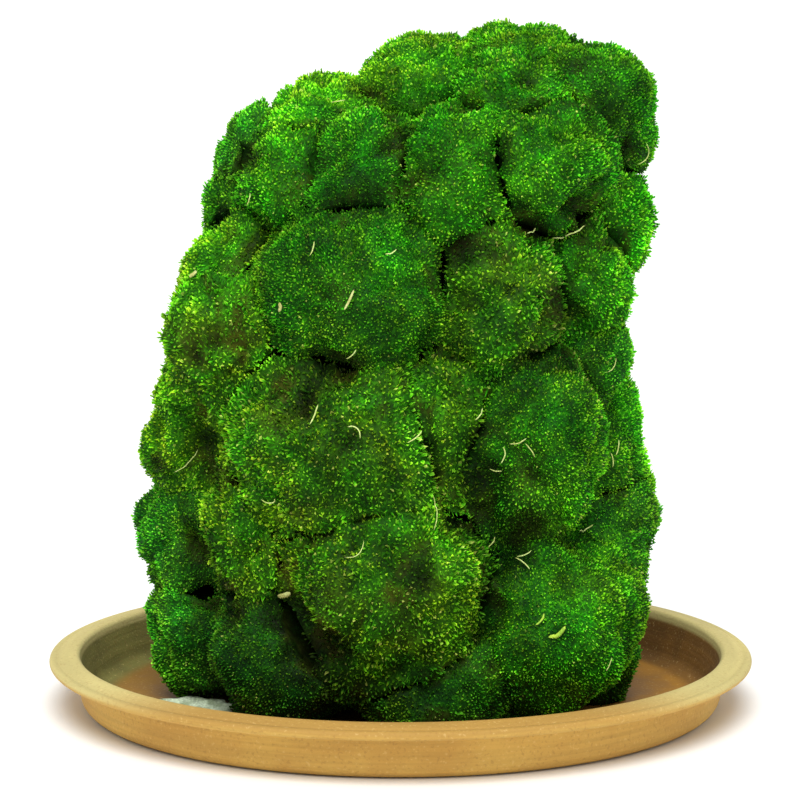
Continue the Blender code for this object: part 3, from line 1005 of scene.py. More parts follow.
@dataclass
class MossCushion:
    """One cushion of the pile: a rounded mass and the shoots that cover its open side."""

    node: str
    tone: Tone
    seed: int
    voxel: float = 4.0 * MM
    smoothing: int = 2
    feeler_start: float = 1.6 * MM
    feeler_reach: float = 26 * MM
    feelers: int = 18
    held_in: float = 0.1 * MM
    level_reach: float = 20 * MM
    level_share: float = 0.70
    level_patches: float = 0.9
    level_patch: float = 34 * MM
    across: float = 4.2 * MM
    across_patch: float = 24 * MM
    filled_room: float = 0.75
    # Painted shade in the dents: dent_shade on lit, dent_shade_tint on the colour; painted_light_limit is the most
    # painted light that they give.
    dent_shade: float = 0.88
    dent_reach: float = 2.5
    dent_hold: float = 0.5
    dent_shade_tint: float = 0.5
    painted_light_limit: float = -0.8
    tint_reach: float = 2.0
    warps: tuple[tuple[float, float], ...] = ((42 * MM, 5.0 * MM), (18 * MM, 2.4 * MM))
    billows: tuple[tuple[float, float], ...] = ((27 * MM, 6.0 * MM), (11 * MM, 2.4 * MM))
    crease_shade: float = 0.45
    warp_from: float = 8 * MM
    warp_over: float = 22 * MM
    map_inset: float = 0.08
    map_for_mass: float = 0.18
    mass: bpy.types.Object | None = field(default=None, repr=False)

    @property
    def pile(self) -> Pile:
        """How this cushion's shoots stand."""
        return GRAINS[self.tone].value

    @property
    def colour(self) -> np.ndarray:
        """The colour that this cushion has from a step away, lighter or darker per cushion, partly its own tone and
        partly painted light and shade.
        """
        tone_and_light = TONE_AND_PAINTED_LIGHT.get(self.node.removeprefix("cushion_"), 1.0)
        return MOSS_FINISHES[self.tone].body * tone_and_light

    @property
    def name(self) -> str:
        """The dressed cushion's name."""
        return self.node.replace("cushion_", "moss_")

    def rounded(self, node: bpy.types.Object) -> bpy.types.Mesh:
        """Rounds a copy of the CAD solid into even faces.

        Args:
            node: The CAD node.

        Returns:
            The cushion's mass, still at the solid's full size.
        """
        bm = bmesh.new()
        bm.from_mesh(node.data)
        bmesh.ops.remove_doubles(bm, verts=bm.verts, dist=0.01 * MM)
        mesh = bpy.data.meshes.new(self.name + "_mass")
        bm.to_mesh(mesh)
        bm.free()
        rough = shown(self.name + "_mass", mesh)
        remesh = rough.modifiers.new("remesh", "REMESH")
        remesh.mode = "VOXEL"
        remesh.voxel_size = self.voxel
        remesh.use_smooth_shade = True
        smooth = rough.modifiers.new("smooth", "SMOOTH")
        smooth.iterations = self.smoothing
        made = applied(rough)
        bpy.data.objects.remove(rough)
        made.materials.clear()
        return made

    def feel(self, places: np.ndarray, normals: np.ndarray, others: BVHTree) -> tuple[np.ndarray, np.ndarray]:
        """Feels how much room each vertex has, and on which side.

        Args:
            places: The vertices.
            normals: Their normals.
            others: The rest of the pile.

        Returns:
            For each vertex 0 where it is pressed against a neighbour, up to 1 where all is open, and the
            middle direction of its room.
        """
        feelers = [Vector(d) for d in dome(self.feelers)]
        room = np.zeros(len(places), np.float32)
        side = normals.copy()
        for i, (place, normal) in enumerate(zip(places, normals)):
            out = Vector(normal)
            start = Vector(place) + out * self.feeler_start
            hit = others.ray_cast(start, out)
            if hit[0] is not None and hit[1].dot(out) > 0:
                continue
            turn = out.to_track_quat("Z", "Y")
            turned = [turn @ feeler for feeler in feelers]
            free = [d for d in turned if others.ray_cast(start, d, self.feeler_reach)[0] is None]
            room[i] = len(free) / self.feelers
            if free:
                side[i] = sum(free, Vector()).normalized()
        return room, side

    def warp(self, places: np.ndarray) -> np.ndarray:
        """How far the growth pushes each vertex: one unevenness for the whole pile, so that seams wander."""
        found = np.zeros_like(places)
        for i, place in enumerate(places):
            push = Vector()
            for size, depth in self.warps:
                push += noise.noise_vector(Vector(place) / size) * depth
            found[i] = push
        return found * self.clear_of_floor(places)[:, None]

    def clear_of_floor(self, places: np.ndarray) -> np.ndarray:
        """How freely the moss spreads at each vertex: 0 on the saucer's floor and 1 well above it."""
        return np.clip((places[:, 2] - self.warp_from) / self.warp_over, 0, 1)

    def billow(self, places: np.ndarray) -> tuple[np.ndarray, np.ndarray]:
        """Swells the surface into lumps with creases between them, the same across all the pile.

        Args:
            places: The vertices.

        Returns:
            How far each swells, and how near it is to a crease, from 0 in one to 1 on a lump.
        """
        swell = np.zeros(len(places), np.float32)
        height = np.ones(len(places), np.float32)
        for turn, (size, depth) in enumerate(self.billows):
            shift = Vector((3.7, 1.9, 8.3)) * (turn + 1)
            lump = np.array([abs(noise.noise(Vector(p) / size + shift)) for p in places], np.float32)
            lump = np.clip(lump / 0.5, 0, 1) ** 0.7
            swell += (lump - 0.55) * depth
            if turn == 0:
                height = lump
        return swell * self.clear_of_floor(places), height

    def level(self, places: np.ndarray, side: np.ndarray, room: np.ndarray, envelope: BVHTree) -> np.ndarray:
        """How far the moss grows out of its seams and keeps back on its crests, towards the pile's outside.

        Args:
            places: The vertices.
            side: The middle direction of each one's room.
            room: How much room each has.
            envelope: The pile's smooth outside.

        Returns:
            A distance for each vertex, below 0 where it keeps back.
        """
        found = np.zeros(len(places), np.float32)
        for i in np.flatnonzero(room > 0.02):
            out = Vector(side[i])
            start = Vector(places[i]) + out * self.level_reach
            hit = envelope.ray_cast(start, -out, 2 * self.level_reach)
            if hit[0] is not None:
                share = self.level_share + self.level_patches * noise.noise(Vector(places[i]) / self.level_patch)
                found[i] = (self.level_reach - hit[3]) * min(0.95, max(0.2, share))
        return found * smooth(room, 0.02, 0.12) * self.clear_of_floor(places)

    def spread(self, places: np.ndarray, normals: np.ndarray, side: np.ndarray, room: np.ndarray) -> np.ndarray:
        """How far the moss at a seam leans over it, to meet its neighbour's.

        Args:
            places: The vertices.
            normals: Their normals.
            side: The middle direction of each one's room.
            room: How much room each has.

        Returns:
            A push for each vertex.
        """
        across = normals - side * (normals * side).sum(1)[:, None]
        patches = np.array([noise.noise(Vector(p) / self.across_patch) for p in places], np.float32)
        amount = smooth(room, 0.02, 0.12) * (1 - smooth(room, 0.5, 0.85)) * smooth(patches, -0.35, 0.05)
        return across * (self.across * amount)[:, None]

    def sink(self, places: np.ndarray, dents: list[tuple[np.ndarray, np.ndarray, Dent]]) -> np.ndarray:
        """How far the dents sink each vertex, how much painted shade they lay on it (painted light below 0) and how
        brown they make it, in three columns.
        """
        found = np.zeros((len(places), 3), np.float32)
        for middle, along, dent in dents:
            offset = places - middle
            behind = offset @ along
            beside = (offset**2).sum(1) - behind**2
            near = np.exp(-(beside + (behind / self.dent_reach) ** 2) / dent.radius**2)
            found[:, 0] += near * dent.depth
            found[:, 1] += near * dent.painted_shade * (dent.depth > 0 or dent.painted_shade < 0)
            found[:, 2] = np.maximum(found[:, 2], near * dent.brown * (dent.depth > 0))
        return np.clip(found, (-1, self.painted_light_limit, 0), 1)

    def make_mass(self, node: bpy.types.Object, others: BVHTree, pile: "MossPile") -> bpy.types.Object:
        """Makes the mass under the shoots, drawn in by their length where it is open.

        Args:
            node: The CAD node.
            others: The rest of the pile.
            pile: The whole pile, with its envelope and its dents.

        Returns:
            The mass, which carries how open each vertex is and where its shoots point.
        """
        mesh = self.rounded(node)
        places = read(mesh.vertices, "co", 3)
        normals = read(mesh.vertex_normals, "vector", 3)
        room, side = self.feel(places, normals, others)
        ease = smooth(room, 0.05, 0.45)
        sunk, shade, brown = self.sink(places, pile.dents).T
        level = self.level(places, side, room, pile.envelope)
        kept = 1 - self.dent_hold * np.maximum(shade, 0)
        level = np.where(level > 0, level * kept, level)
        spread = self.spread(places, normals, side, room) * kept[:, None]
        room = np.maximum(room, self.filled_room * smooth(level, 0.5 * MM, 6 * MM) * smooth(room, 0.02, 0.15))
        swell, lump = self.billow(places)
        towards = normals * 0.5 + side * 0.5
        depth = self.held_in * (1 - ease) + (self.pile.length * 0.8 - swell) * ease
        places += self.warp(places) + side * level[:, None] - normals * depth[:, None] + spread
        places -= towards * (sunk * self.clear_of_floor(places))[:, None]
        # lit is painted shade: lower in closed places, in the creases between lumps and in the dents.
        lit = room * (1 - self.crease_shade * (1 - smooth(lump, 0.05, 0.5))) * (1 - self.dent_shade * shade)
        tint_and_light = pile.tints_and_light(places, self.tint_reach) / MOSS_FINISHES[self.tone].body
        # Painted shade in the dents, and painted light where it is below 0, darken or lighten the colour.
        tint_and_light *= (1 - self.dent_shade_tint * shade)[:, None]
        mesh.vertices.foreach_set("co", places.ravel())
        for name, kind, key, values in (
            (OPEN, "FLOAT", "value", room),
            (LIT, "FLOAT", "value", lit),
            (EARTH, "FLOAT", "value", brown),
            (RISE, "FLOAT", "value", np.full(len(places), 0.08, np.float32)),
            (SHOOT, "FLOAT", "value", np.full(len(places), 0.5, np.float32)),
            (TINT_AND_LIGHT, "FLOAT_VECTOR", "vector", tint_and_light.astype(np.float32).ravel()),
            (CELL, "INT", "value", np.full(len(places), -1, np.int32)),
            (TOWARDS, "FLOAT_VECTOR", "vector", towards.ravel()),
        ):
            mesh.attributes.new(name, kind, "POINT").data.foreach_set(key, values)
        mesh.uv_layers.new(name=BAKE_MAP)
        self.mass = shown(self.name + "_mass", mesh)
        return self.mass

    def lay_out_map(self, mesh: bpy.types.Mesh) -> None:
        """Gives each shoot and each face of the mass a cell of its own in the bake's map."""
        layer = mesh.uv_layers[BAKE_MAP]
        places = read(layer.data, "uv", 2)
        vertex = read(mesh.loops, "vertex_index", 1, np.int32)
        first = read(mesh.polygons, "loop_start", 1, np.int32)
        count = read(mesh.polygons, "loop_total", 1, np.int32)
        cell = read(mesh.attributes[CELL].data, "value", 1, np.int32)[vertex]
        face = np.repeat(np.arange(len(first)), count)
        turn = np.arange(len(vertex)) - first[face]
        is_mass = cell[first] < 0
        faces = max(1, int(is_mass.sum()))
        across = math.ceil(math.sqrt(faces / self.map_for_mass))
        strip = math.ceil(faces / across) / across
        order = np.cumsum(is_mass) - 1
        corners = np.array([(0, 0), (1, 0), (1, 1), (0, 1)], np.float32)
        inset = self.map_inset + (1 - 2 * self.map_inset) * corners[turn % 4]
        grid = np.stack([order[face] % across, order[face] // across], 1)
        own = is_mass[face]
        places[own] = (grid[own] + inset[own]) / across
        shoots = int(cell.max()) + 1
        wide = math.ceil(math.sqrt(max(1, shoots) / (1 - strip))) + 1
        grid = np.stack([cell % wide, cell // wide], 1)
        places[~own] = (grid[~own] + places[~own]) / wide + (0, strip)
        layer.data.foreach_set("uv", places.astype(np.float32).ravel())
        for name in (CELL, TOWARDS):
            mesh.attributes.remove(mesh.attributes[name])

    def build(self, shoots: ShootTree, material: bpy.types.Material) -> bpy.types.Object:
        """Grows the shoots and makes the finished piece.

        Args:
            shoots: The tree that grows them.
            material: The moss of this cushion's tone.

        Returns:
            The finished piece.
        """
        pile = self.pile
        coarse = 1.0
        values = {
            "Spacing": pile.spacing * coarse,
            "Crowding": 2.2 / (pile.spacing * coarse) ** 2,
            "Width": pile.width * coarse,
            "Length": pile.length,
            "Lean": pile.lean,
            "Lift": 0.2,
            "Least open": 0.03,
            "Well open": 0.16,
            "Clump size": pile.clump_size,
            "Clump depth": pile.clump_depth,
            "Seed": self.seed,
            "Finish": material,
        }
        mesh = shoots.grow(self.mass, values)
        self.lay_out_map(mesh)
        piece = shown(self.name, mesh)
        on_part(piece, self.node)
        return piece


@dataclass
class MossPile:
    """All the cushions of the pile."""

    nodes: dict[str, bpy.types.Object]
    slots: dict[str, str]
    view: "Viewpoint"
    envelope_voxel: float = 4.0 * MM
    envelope_smoothing: int = 50
    envelope_swell: float = 3.0 * MM
    cushions: list[MossCushion] = field(default_factory=list)
    envelope: BVHTree | None = field(default=None, repr=False)
    dents: list[tuple[np.ndarray, np.ndarray, Dent]] = field(default_factory=list)

    def plan(self) -> None:
        """Lists the cushions in the record's order."""
        moss = [name for name in self.slots if name.startswith("cushion_")]
        self.cushions = [
            MossCushion(name, Tone(self.slots[name]), seed) for seed, name in enumerate(moss, 1)
        ]

    def wrap(self) -> None:
        """Finds the pile's smooth outside, and where the dents lie on it."""
        bm = bmesh.new()
        for cushion in self.cushions:
            bm.from_mesh(self.nodes[cushion.node].data)
        bmesh.ops.remove_doubles(bm, verts=bm.verts, dist=0.01 * MM)
        mesh = bpy.data.meshes.new("envelope")
        bm.to_mesh(mesh)
        bm.free()
        rough = shown("envelope", mesh)
        remesh = rough.modifiers.new("remesh", "REMESH")
        remesh.mode = "VOXEL"
        remesh.voxel_size = self.envelope_voxel
        relax = rough.modifiers.new("relax", "SMOOTH")
        relax.iterations = self.envelope_smoothing
        swell = rough.modifiers.new("swell", "DISPLACE")
        swell.strength = self.envelope_swell
        swell.mid_level = 0
        made = applied(rough)
        bpy.data.objects.remove(rough)
        self.envelope = BVHTree.FromPolygons([v.co for v in made.vertices], [p.vertices for p in made.polygons])
        start = Vector(self.view.place)
        for dent in DENTS:
            along = self.view.ray(dent.x, dent.y)
            place = self.envelope.ray_cast(start, along)[0]
            if place is None:
                place = self.envelope.find_nearest(start + along * (-start.y / along.y))[0]
            self.dents.append((np.array(place), np.array(along), dent))

    def tints_and_light(self, places: np.ndarray, reach: float) -> np.ndarray:
        """The moss's colour at each place, which goes over from one cushion's to the next's, with each cushion's
        painted light and shade.

        Args:
            places: Where it is wanted.
            reach: How quickly a cushion's own colour fades out, counted in its half widths.

        Returns:
            A colour for each place.
        """
        total = np.full(len(places), 1e-9)
        found = np.zeros((len(places), 3))
        for cushion in self.cushions:
            low, high = (np.array(corner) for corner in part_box(cushion.node))
            away = (places - (low + high) / 2) / ((high - low) / 2)
            weight = np.exp(-reach * (away**2).sum(1))
            total += weight
            found += weight[:, None] * cushion.colour
        return (found + 1e-9 * self.cushions[0].colour) / total[:, None]

    def besides(self, name: str) -> BVHTree:
        """What surrounds one cushion: all the other solids."""
        places, faces = [], []
        for other, thing in self.nodes.items():
            if other != name:
                start = len(places)
                places += [v.co.copy() for v in thing.data.vertices]
                faces += [[start + i for i in p.vertices] for p in thing.data.polygons]
        return BVHTree.FromPolygons(places, faces)

    def skin(self) -> BVHTree:
        """The surface that the shoots stand on, for what lies on the moss."""
        places, faces = [], []
        for cushion in self.cushions:
            start = len(places)
            places += [v.co.copy() for v in cushion.mass.data.vertices]
            faces += [[start + i for i in p.vertices] for p in cushion.mass.data.polygons]
        return BVHTree.FromPolygons(places, faces)

    def build(self) -> BVHTree:
        """Makes every cushion.

        Returns:
            The surface that the shoots stand on.
        """
        self.plan()
        self.wrap()
        materials = {tone: MOSS_FINISHES[tone].material(tone.value) for tone in Tone}
        for cushion in self.cushions:
            cushion.make_mass(self.nodes[cushion.node], self.besides(cushion.node), self)
        skin = self.skin()
        shoots = ShootTree()
        faces = 0
        for cushion in self.cushions:
            faces += triangles(cushion.build(shoots, materials[cushion.tone]))
            bpy.data.objects.remove(cushion.mass)
        log.info("moss: %d cushions, %d triangles", len(self.cushions), faces)
        for form in list(shoots.forms.objects):
            bpy.data.objects.remove(form)
        bpy.data.collections.remove(shoots.forms)
        return skin


def triangles(piece: bpy.types.Object) -> int:
    """How many triangles a piece's faces make."""
    return int((read(piece.data.polygons, "loop_total", 1, np.int32) - 2).sum())


def lathe(name: str, section: list[tuple[float, float]], steps: int, wobble: float) -> bpy.types.Mesh:
    """Turns a closed section round Z.

    Args:
        name: The mesh's name.
        section: Points (r, z) from the pole underneath to the pole on top.
        steps: How many sides it has.
        wobble: How far the hand of the maker strays from the circle, in metres.

    Returns:
        A closed mesh with smooth faces.
    """
    bm = bmesh.new()
    rings = []
    for r, z in section[1:-1]:
        ring = []
        for i in range(steps):
            angle = math.tau * i / steps
            out = r + wobble * math.sin(2 * angle + 0.6) + wobble / 2 * math.sin(5 * angle)
            ring.append(bm.verts.new((out * math.cos(angle), out * math.sin(angle), z)))
        rings.append(ring)
    low = bm.verts.new((0, 0, section[0][1]))
    high = bm.verts.new((0, 0, section[-1][1]))
    for i in range(steps):
        j = (i + 1) % steps
        bm.faces.new((low, rings[0][j], rings[0][i]))
        bm.faces.new((high, rings[-1][i], rings[-1][j]))
        for inner, outer in zip(rings, rings[1:]):
            bm.faces.new((inner[i], inner[j], outer[j], outer[i]))
    bmesh.ops.recalc_face_normals(bm, faces=bm.faces)
    for face in bm.faces:
        face.smooth = True
    mesh = bpy.data.meshes.new(name)
    bm.to_mesh(mesh)
    bm.free()
    return mesh


@dataclass
class Saucer:
    """The terracotta saucer, a closed section turned round Z."""

    rim_radius: float = 150 * MM
    height: float = 24 * MM
    lip_width: float = 11 * MM
    lip_thickness: float = 3.6 * MM
    lip_drop: float = 1.6 * MM
    crest_width: float = 4 * MM
    crest_fall: float = 0.5 * MM
    inner_round: float = 2.2 * MM
    under_lip_inset: float = 1.6 * MM
    wall: float = 4 * MM
    floor: float = 3.6 * MM
    foot_radius: float = 137 * MM
    corner: float = 7 * MM
    steepest: float = -15
    groove_place: float = 3.4 * MM
    groove_depth: float = 0.35 * MM
    steps: int = 180
    wobble: float = 0.12 * MM
    longest: float = 9 * MM

    def arc(self, r: float, z: float, radius: float, start: float, end: float, steps: int) -> list[tuple[float, float]]:
        """Points on a round of the section, between two angles in degrees."""
        angles = [math.radians(start + (end - start) * i / steps) for i in range(steps + 1)]
        return [(r + radius * math.cos(a), z + radius * math.sin(a)) for a in angles]

    def section(self) -> list[tuple[float, float]]:
        """The section, from the pole underneath out, up over the lip and back in to the floor's pole."""
        lip_inner = self.rim_radius - self.lip_width
        edge_z = self.height - self.lip_drop - self.lip_thickness / 2
        edge_r = self.rim_radius - self.lip_thickness / 2
        foot_r = self.foot_radius - self.corner
        half = self.lip_thickness / 2
        groove_r = self.rim_radius - self.groove_place
        edge_top = edge_z + half
        points = [
            (0, 0),
            *self.arc(foot_r, self.corner, self.corner, -90, self.steepest, 8),
            (lip_inner - self.under_lip_inset, edge_z - half - 0.6 * MM),
            (lip_inner - self.under_lip_inset + 0.8 * MM, edge_z - half),
            *self.arc(edge_r, edge_z, half, -90, 90, 10),
            (groove_r + 0.5 * MM, edge_top + 0.12 * MM),
            (groove_r, edge_top - self.groove_depth + 0.2 * MM),
            (groove_r - 0.6 * MM, edge_top + 0.35 * MM),
            (lip_inner + self.crest_width + 1.5 * MM, self.height - self.crest_fall - 0.35 * MM),
            (lip_inner + self.crest_width, self.height - self.crest_fall),
            (lip_inner + self.crest_width / 2, self.height - 0.1 * MM),
            *self.arc(lip_inner, self.height - self.inner_round, self.inner_round, 90, 180, 5),
            *self.arc(foot_r - self.wall, self.floor + self.corner, self.corner, self.steepest, -90, 8),
            (0, self.floor),
        ]
        return self.divided(points)

    def divided(self, points: list[tuple[float, float]]) -> list[tuple[float, float]]:
        """Cuts the section's long runs into even ones."""
        made = [points[0]]
        for (r0, z0), (r1, z1) in zip(points, points[1:]):
            cuts = max(1, math.ceil(math.hypot(r1 - r0, z1 - z0) / self.longest))
            made += [(r0 + (r1 - r0) * i / cuts, z0 + (z1 - z0) * i / cuts) for i in range(1, cuts + 1)]
        return made

    def build(self) -> bpy.types.Object:
        """Makes the saucer in place of its CAD node."""
        mesh = lathe("turned_saucer", self.section(), self.steps, self.wobble)
        mesh.materials.append(ClayFinish().material("terracotta"))
        piece = shown("turned_saucer", mesh)
        on_part(piece, "saucer")
        return piece


@dataclass
class LichenScrap:
    """The ragged pale scrap of lichen that lies on the saucer's floor, half under the moss."""

    middle: Vector = field(default_factory=lambda: Vector((-88, -37, 3.9)) * MM)
    length: float = 38 * MM
    width: float = 24 * MM
    thickness: float = 1.4 * MM
    curl: float = 3.2 * MM
    waves: tuple[tuple[int, float, float], ...] = ((9, 0.13, 0), (4, 0.08, 1))
    teeth: float = 0.07
    relief: float = 0.5 * MM
    rings: int = 9
    steps: int = 120

    def point(self, angle: float, share: float, side: int) -> Vector:
        """A point of the scrap.

        Args:
            angle: Its direction from the middle.
            share: How far out it is, from 0 to 1 at the edge.
            side: 0 underneath and 1 on top.

        Returns:
            The point's place.
        """
        edge = 1 + sum(depth * math.sin(count * angle + turn) for count, depth, turn in self.waves)
        edge += self.teeth * noise.noise(Vector((9 * math.cos(angle), 9 * math.sin(angle), 0.3)))
        curl = self.curl * share**4 * (1 + math.sin(angle)) / 2
        x = share * edge * self.length / 2 * math.cos(angle)
        y = share * edge * self.width / 2 * math.sin(angle)
        bumps = self.relief * noise.noise(Vector((x, y, 0)) / (4.5 * MM)) * side * (1 - share**6)
        thin = self.thickness * (1 - 0.75 * share**5)
        return self.middle + Vector((x, y, curl + side * thin + bumps))

    def build(self) -> bpy.types.Object:
        """Makes the scrap in place of its CAD node."""
        bm = bmesh.new()
        angles = [math.tau * i / self.steps for i in range(self.steps)]
        shares = [(i + 1) / self.rings for i in range(self.rings)]
        order = [(share, 0) for share in shares] + [(share, 1) for share in reversed(shares)]
        rings = [[bm.verts.new(self.point(a, share, side)) for a in angles] for share, side in order]
        low, high = bm.verts.new(self.point(0, 0, 0)), bm.verts.new(self.point(0, 0, 1))
        for i in range(self.steps):
            j = (i + 1) % self.steps
            bm.faces.new((low, rings[0][j], rings[0][i]))
            bm.faces.new((high, rings[-1][i], rings[-1][j]))
            for inner, outer in zip(rings, rings[1:]):
                bm.faces.new((inner[i], inner[j], outer[j], outer[i]))
        bmesh.ops.recalc_face_normals(bm, faces=bm.faces)
        for face in bm.faces:
            face.smooth = True
        mesh = bpy.data.meshes.new("pale_lichen_scrap")
        bm.to_mesh(mesh)
        bm.free()
        finish = ScrapFinish((0.62, 0.72, 0.52), (0.30, 0.37, 0.22), 7 * MM, 0.85)
        mesh.materials.append(finish.material("lichen"))
        piece = shown("pale_lichen_scrap", mesh)
        on_part(piece, "lichen_scrap")
        return piece


@dataclass(frozen=True)
class Viewpoint:
    """Where the photograph was taken from."""

    place: tuple[float, float, float] = (-0.27 * MM, -1416.7 * MM, 332.8 * MM)
    pitch: float = 8.12
    lens: float = 151.6
    sensor: float = 36.0
    frame: float = 800.0

    def turn(self) -> Euler:
        """The camera's rotation, level and tipped down by its pitch."""
        return Euler((math.radians(90 - self.pitch), 0, 0))

    def ray(self, x: float, y: float) -> Vector:
        """The direction of a line of sight through a point of the square frame, counted from its top left."""
        across = (x / self.frame - 0.5) * self.sensor / self.lens
        up = (0.5 - y / self.frame) * self.sensor / self.lens
        return (self.turn().to_matrix() @ Vector((across, up, -1))).normalized()

    def build(self) -> None:
        """Makes the scene's camera."""
        data = bpy.data.cameras.new("viewpoint")
        data.lens, data.sensor_width = self.lens, self.sensor
        data.clip_start, data.clip_end = 0.05, 100
        camera = bpy.data.objects.new("viewpoint", data)
        camera.location, camera.rotation_euler = self.place, self.turn()
        bpy.context.scene.collection.objects.link(camera)
        bpy.context.scene.camera = camera


@dataclass(frozen=True)
class Wisp:
    """One thin dry bit caught in the moss, by its place in the frame.

    Angles are in degrees, anticlockwise from the frame's right. Bend is the sag over its length.
    """

    x: float
    y: float
    angle: float
    length: float
    bend: float = 0.1
    width: float = 0.55 * MM


STRAWS = (
    Wisp(317, 416, 68, 9 * MM, 0.05, 0.75 * MM),
    Wisp(355, 434, 140, 8 * MM, 0.30),
    Wisp(412, 437, 32, 8 * MM, 0.06),
    Wisp(352, 350, 60, 7 * MM),
    Wisp(271, 496, 20, 7 * MM, 0.28),
    Wisp(520, 439, 25, 8 * MM),
    Wisp(532, 448, 120, 7 * MM),
    Wisp(502, 454, 80, 7 * MM, 0.2),
    Wisp(499, 467, 10, 6 * MM),
    Wisp(476, 414, 50, 6 * MM),
    Wisp(614, 448, 70, 7 * MM),
    Wisp(609, 460, 100, 6 * MM),
    Wisp(585, 530, 30, 7 * MM),
    Wisp(526, 555, 15, 7 * MM),
    Wisp(523, 565, 140, 8 * MM),
    Wisp(489, 540, 60, 6 * MM),
    Wisp(604, 663, 40, 6 * MM),
    Wisp(314, 249, 70, 6 * MM),
    Wisp(529, 233, 45, 6 * MM),
    Wisp(389, 254, 30, 6 * MM),
    Wisp(338, 106, 20, 7 * MM),
    Wisp(252, 199, 60, 6 * MM),
)
STEMS = (
    Wisp(430, 514, 84, 15 * MM, 0.12, 0.4 * MM),
    Wisp(357, 551, 40, 11 * MM, 0.35, 0.4 * MM),
    Wisp(185, 458, 52, 15 * MM, 0.10, 0.4 * MM),
    Wisp(568, 228, 10, 16 * MM, 0.08, 0.6 * MM),
    Wisp(639, 152, 75, 10 * MM, 0.35, 0.45 * MM),
    Wisp(608, 364, 50, 7 * MM, 0.2, 0.4 * MM),
)
CHIPS = (
    Wisp(351, 301, 62, 9 * MM, 0.05, 1.1 * MM),
    Wisp(282, 306, 75, 4.5 * MM, 0.1, 1.5 * MM),
    Wisp(287, 591, 30, 7 * MM, 0.1, 2.4 * MM),
    Wisp(195, 276, 40, 3.5 * MM, 0.0, 1.6 * MM),
)
LEAF_SCRAPS = (
    Wisp(556, 632, 35, 9 * MM, 0.15, 1.8 * MM),
    Wisp(540, 622, 60, 7 * MM, 0.1, 0.9 * MM),
)


@dataclass
class Litter:
    """Bits of one kind that lie on the moss, joined in one piece."""

    name: str
    wisps: tuple[Wisp, ...]
    finish: ScrapFinish
    flatness: float
    rise: float = 2.3 * MM
    sides: int = 6
    steps: int = 10
    kept: int = 0

    def tube(self, bm: bmesh.types.BMesh, line: list[Vector], up: Vector, width: float) -> None:
        """Adds one closed tapered bit.

        Args:
            bm: Where it is added.
            line: Its middle line.
            up: The side that faces out of the moss.
            width: Its full width at the middle.
        """
        rings = []
        for i, place in enumerate(line[1:-1], 1):
            ahead = (line[i + 1] - line[i - 1]).normalized()
            side = ahead.cross(up).normalized()
            over = side.cross(ahead)
            share = 2 * i / (len(line) - 1) - 1
            half = width / 2 * (1 - 0.7 * share**4)
            ring = []
            for k in range(self.sides):
                angle = math.tau * k / self.sides
                across = side * math.cos(angle) + over * math.sin(angle) * self.flatness
                ring.append(bm.verts.new(place + across * half))
            rings.append(ring)
        first, last = bm.verts.new(line[0]), bm.verts.new(line[-1])
        for k in range(self.sides):
            n = (k + 1) % self.sides
            bm.faces.new((first, rings[0][n], rings[0][k]))
            bm.faces.new((last, rings[-1][k], rings[-1][n]))
            for near, far in zip(rings, rings[1:]):
                bm.faces.new((near[k], near[n], far[n], far[k]))

    def line(self, wisp: Wisp, view: Viewpoint, skin: BVHTree) -> tuple[list[Vector], Vector] | None:
        """Lays one bit on the moss.

        Args:
            wisp: The bit.
            view: The viewpoint that its place in the frame is seen from.
            skin: The surface that the shoots stand on.

        Returns:
            Its middle line and the side that faces out, or None where no moss is met.
        """
        place, normal, _, _ = skin.ray_cast(Vector(view.place), view.ray(wisp.x, wisp.y))
        if place is None:
            return None
        frame = view.turn().to_matrix()
        angle = math.radians(wisp.angle)
        along = frame @ Vector((math.cos(angle), math.sin(angle), 0))
        along = (along - normal * along.dot(normal) * 0.8).normalized()
        side = along.cross(normal).normalized()
        points = []
        for i in range(self.steps + 1):
            share = 2 * i / self.steps - 1
            flat = place + along * share * wisp.length / 2
            flat += side * wisp.bend * wisp.length * (1 - share**2)
            near = skin.find_nearest(flat)
            base = near[0] + near[1] * self.rise if near[0] is not None else flat
            points.append(base.lerp(flat + normal * self.rise, 0.65))
        return points, normal

    def build(self, view: Viewpoint, skin: BVHTree) -> bpy.types.Object:
        """Makes the bits as one piece."""
        bm = bmesh.new()
        for wisp in self.wisps:
            laid = self.line(wisp, view, skin)
            if laid:
                self.tube(bm, *laid, wisp.width)
                self.kept += 1
        bmesh.ops.recalc_face_normals(bm, faces=bm.faces)
        for face in bm.faces:
            face.smooth = True
        mesh = bpy.data.meshes.new(self.name)
        bm.to_mesh(mesh)
        bm.free()
        mesh.materials.append(self.finish.material(self.name))
        piece = shown(self.name, mesh)
        on_part(piece)
        log.info("%s: %d of %d bits meet the moss", self.name, self.kept, len(self.wisps))
        return piece


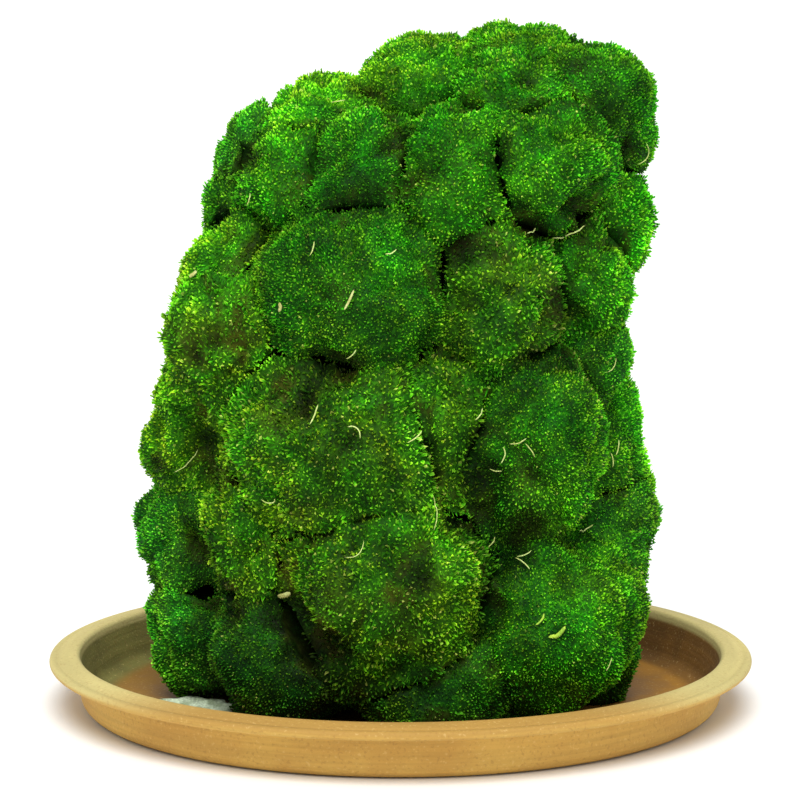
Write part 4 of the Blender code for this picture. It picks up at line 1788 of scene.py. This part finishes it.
@dataclass
class Studio:
    """A plain pale floor and soft light from above and in front."""

    floor_half: float = 30.0
    floor_colour: Colour = (0.86, 0.87, 0.86)
    sky_strength: float = 0.68
    key_strength: float = 3.0
    key_softness: float = 38
    key_from: tuple[float, float, float] = (-0.03, -0.60, 1.0)

    def build(self) -> None:
        """Makes the floor, the light and the surroundings."""
        half = self.floor_half
        mesh = bpy.data.meshes.new("studio_floor")
        corners = [(-half, -half, 0), (half, -half, 0), (half, half, 0), (-half, half, 0)]
        mesh.from_pydata([(x, y, -0.2 * MM) for x, y, _ in corners], [], [(0, 1, 2, 3)])
        paint = Paint("studio_floor")
        colour = paint.mix(paint.grain(0.4, 2), self.floor_colour, tuple(0.97 * c for c in self.floor_colour))
        mesh.materials.append(paint.finish(colour, 0.8, paint.grain(0.01, 1), 0.05 * MM, 0.2))
        floor = shown("studio_floor", mesh)
        key = bpy.data.lights.new("soft_key", "SUN")
        key.energy = self.key_strength
        key.angle = math.radians(self.key_softness)
        lamp = bpy.data.objects.new("soft_key", key)
        lamp.rotation_euler = Vector(self.key_from).to_track_quat("Z", "Y").to_euler()
        bpy.context.scene.collection.objects.link(lamp)
        world = bpy.data.worlds.new("soft_surroundings")
        world.use_nodes = True
        wiring = Wiring(world.node_tree)
        sky = wiring.add("ShaderNodeBackground", {"Color": (1, 1, 1, 1), "Strength": self.sky_strength})
        wiring.add("ShaderNodeOutputWorld", {"Surface": wiring.out(sky, "Background")})
        bpy.context.scene.world = world
        bpy.context.scene.view_settings.view_transform = "Standard"


def main() -> None:
    """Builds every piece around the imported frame."""
    logging.basicConfig(level=logging.INFO, format="%(name)s: %(message)s")
    noise.seed_set(NOISE_SEED)
    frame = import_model()
    slots = {part["node"]: part["material_slot"] for part in frame["record"]["subparts"]}
    view = Viewpoint()
    view.build()
    Studio().build()
    Saucer().build()
    LichenScrap().build()
    skin = MossPile(frame["nodes"], slots, view).build()
    straw = ScrapFinish((0.66, 0.80, 0.27), (0.48, 0.56, 0.14), 3 * MM)
    chip = ScrapFinish((0.60, 0.66, 0.24), (0.42, 0.42, 0.12), 3 * MM)
    leaf = ScrapFinish((0.45, 0.66, 0.05), (0.28, 0.52, 0.04), 3 * MM)
    Litter("dry_straws", STRAWS, straw, 0.7).build(view, skin)
    Litter("thin_stems", STEMS, straw, 1.0).build(view, skin)
    Litter("bark_chips", CHIPS, chip, 0.35).build(view, skin)
    Litter("leaf_scraps", LEAF_SCRAPS, leaf, 0.3).build(view, skin)


if __name__ == "__main__":
    main()
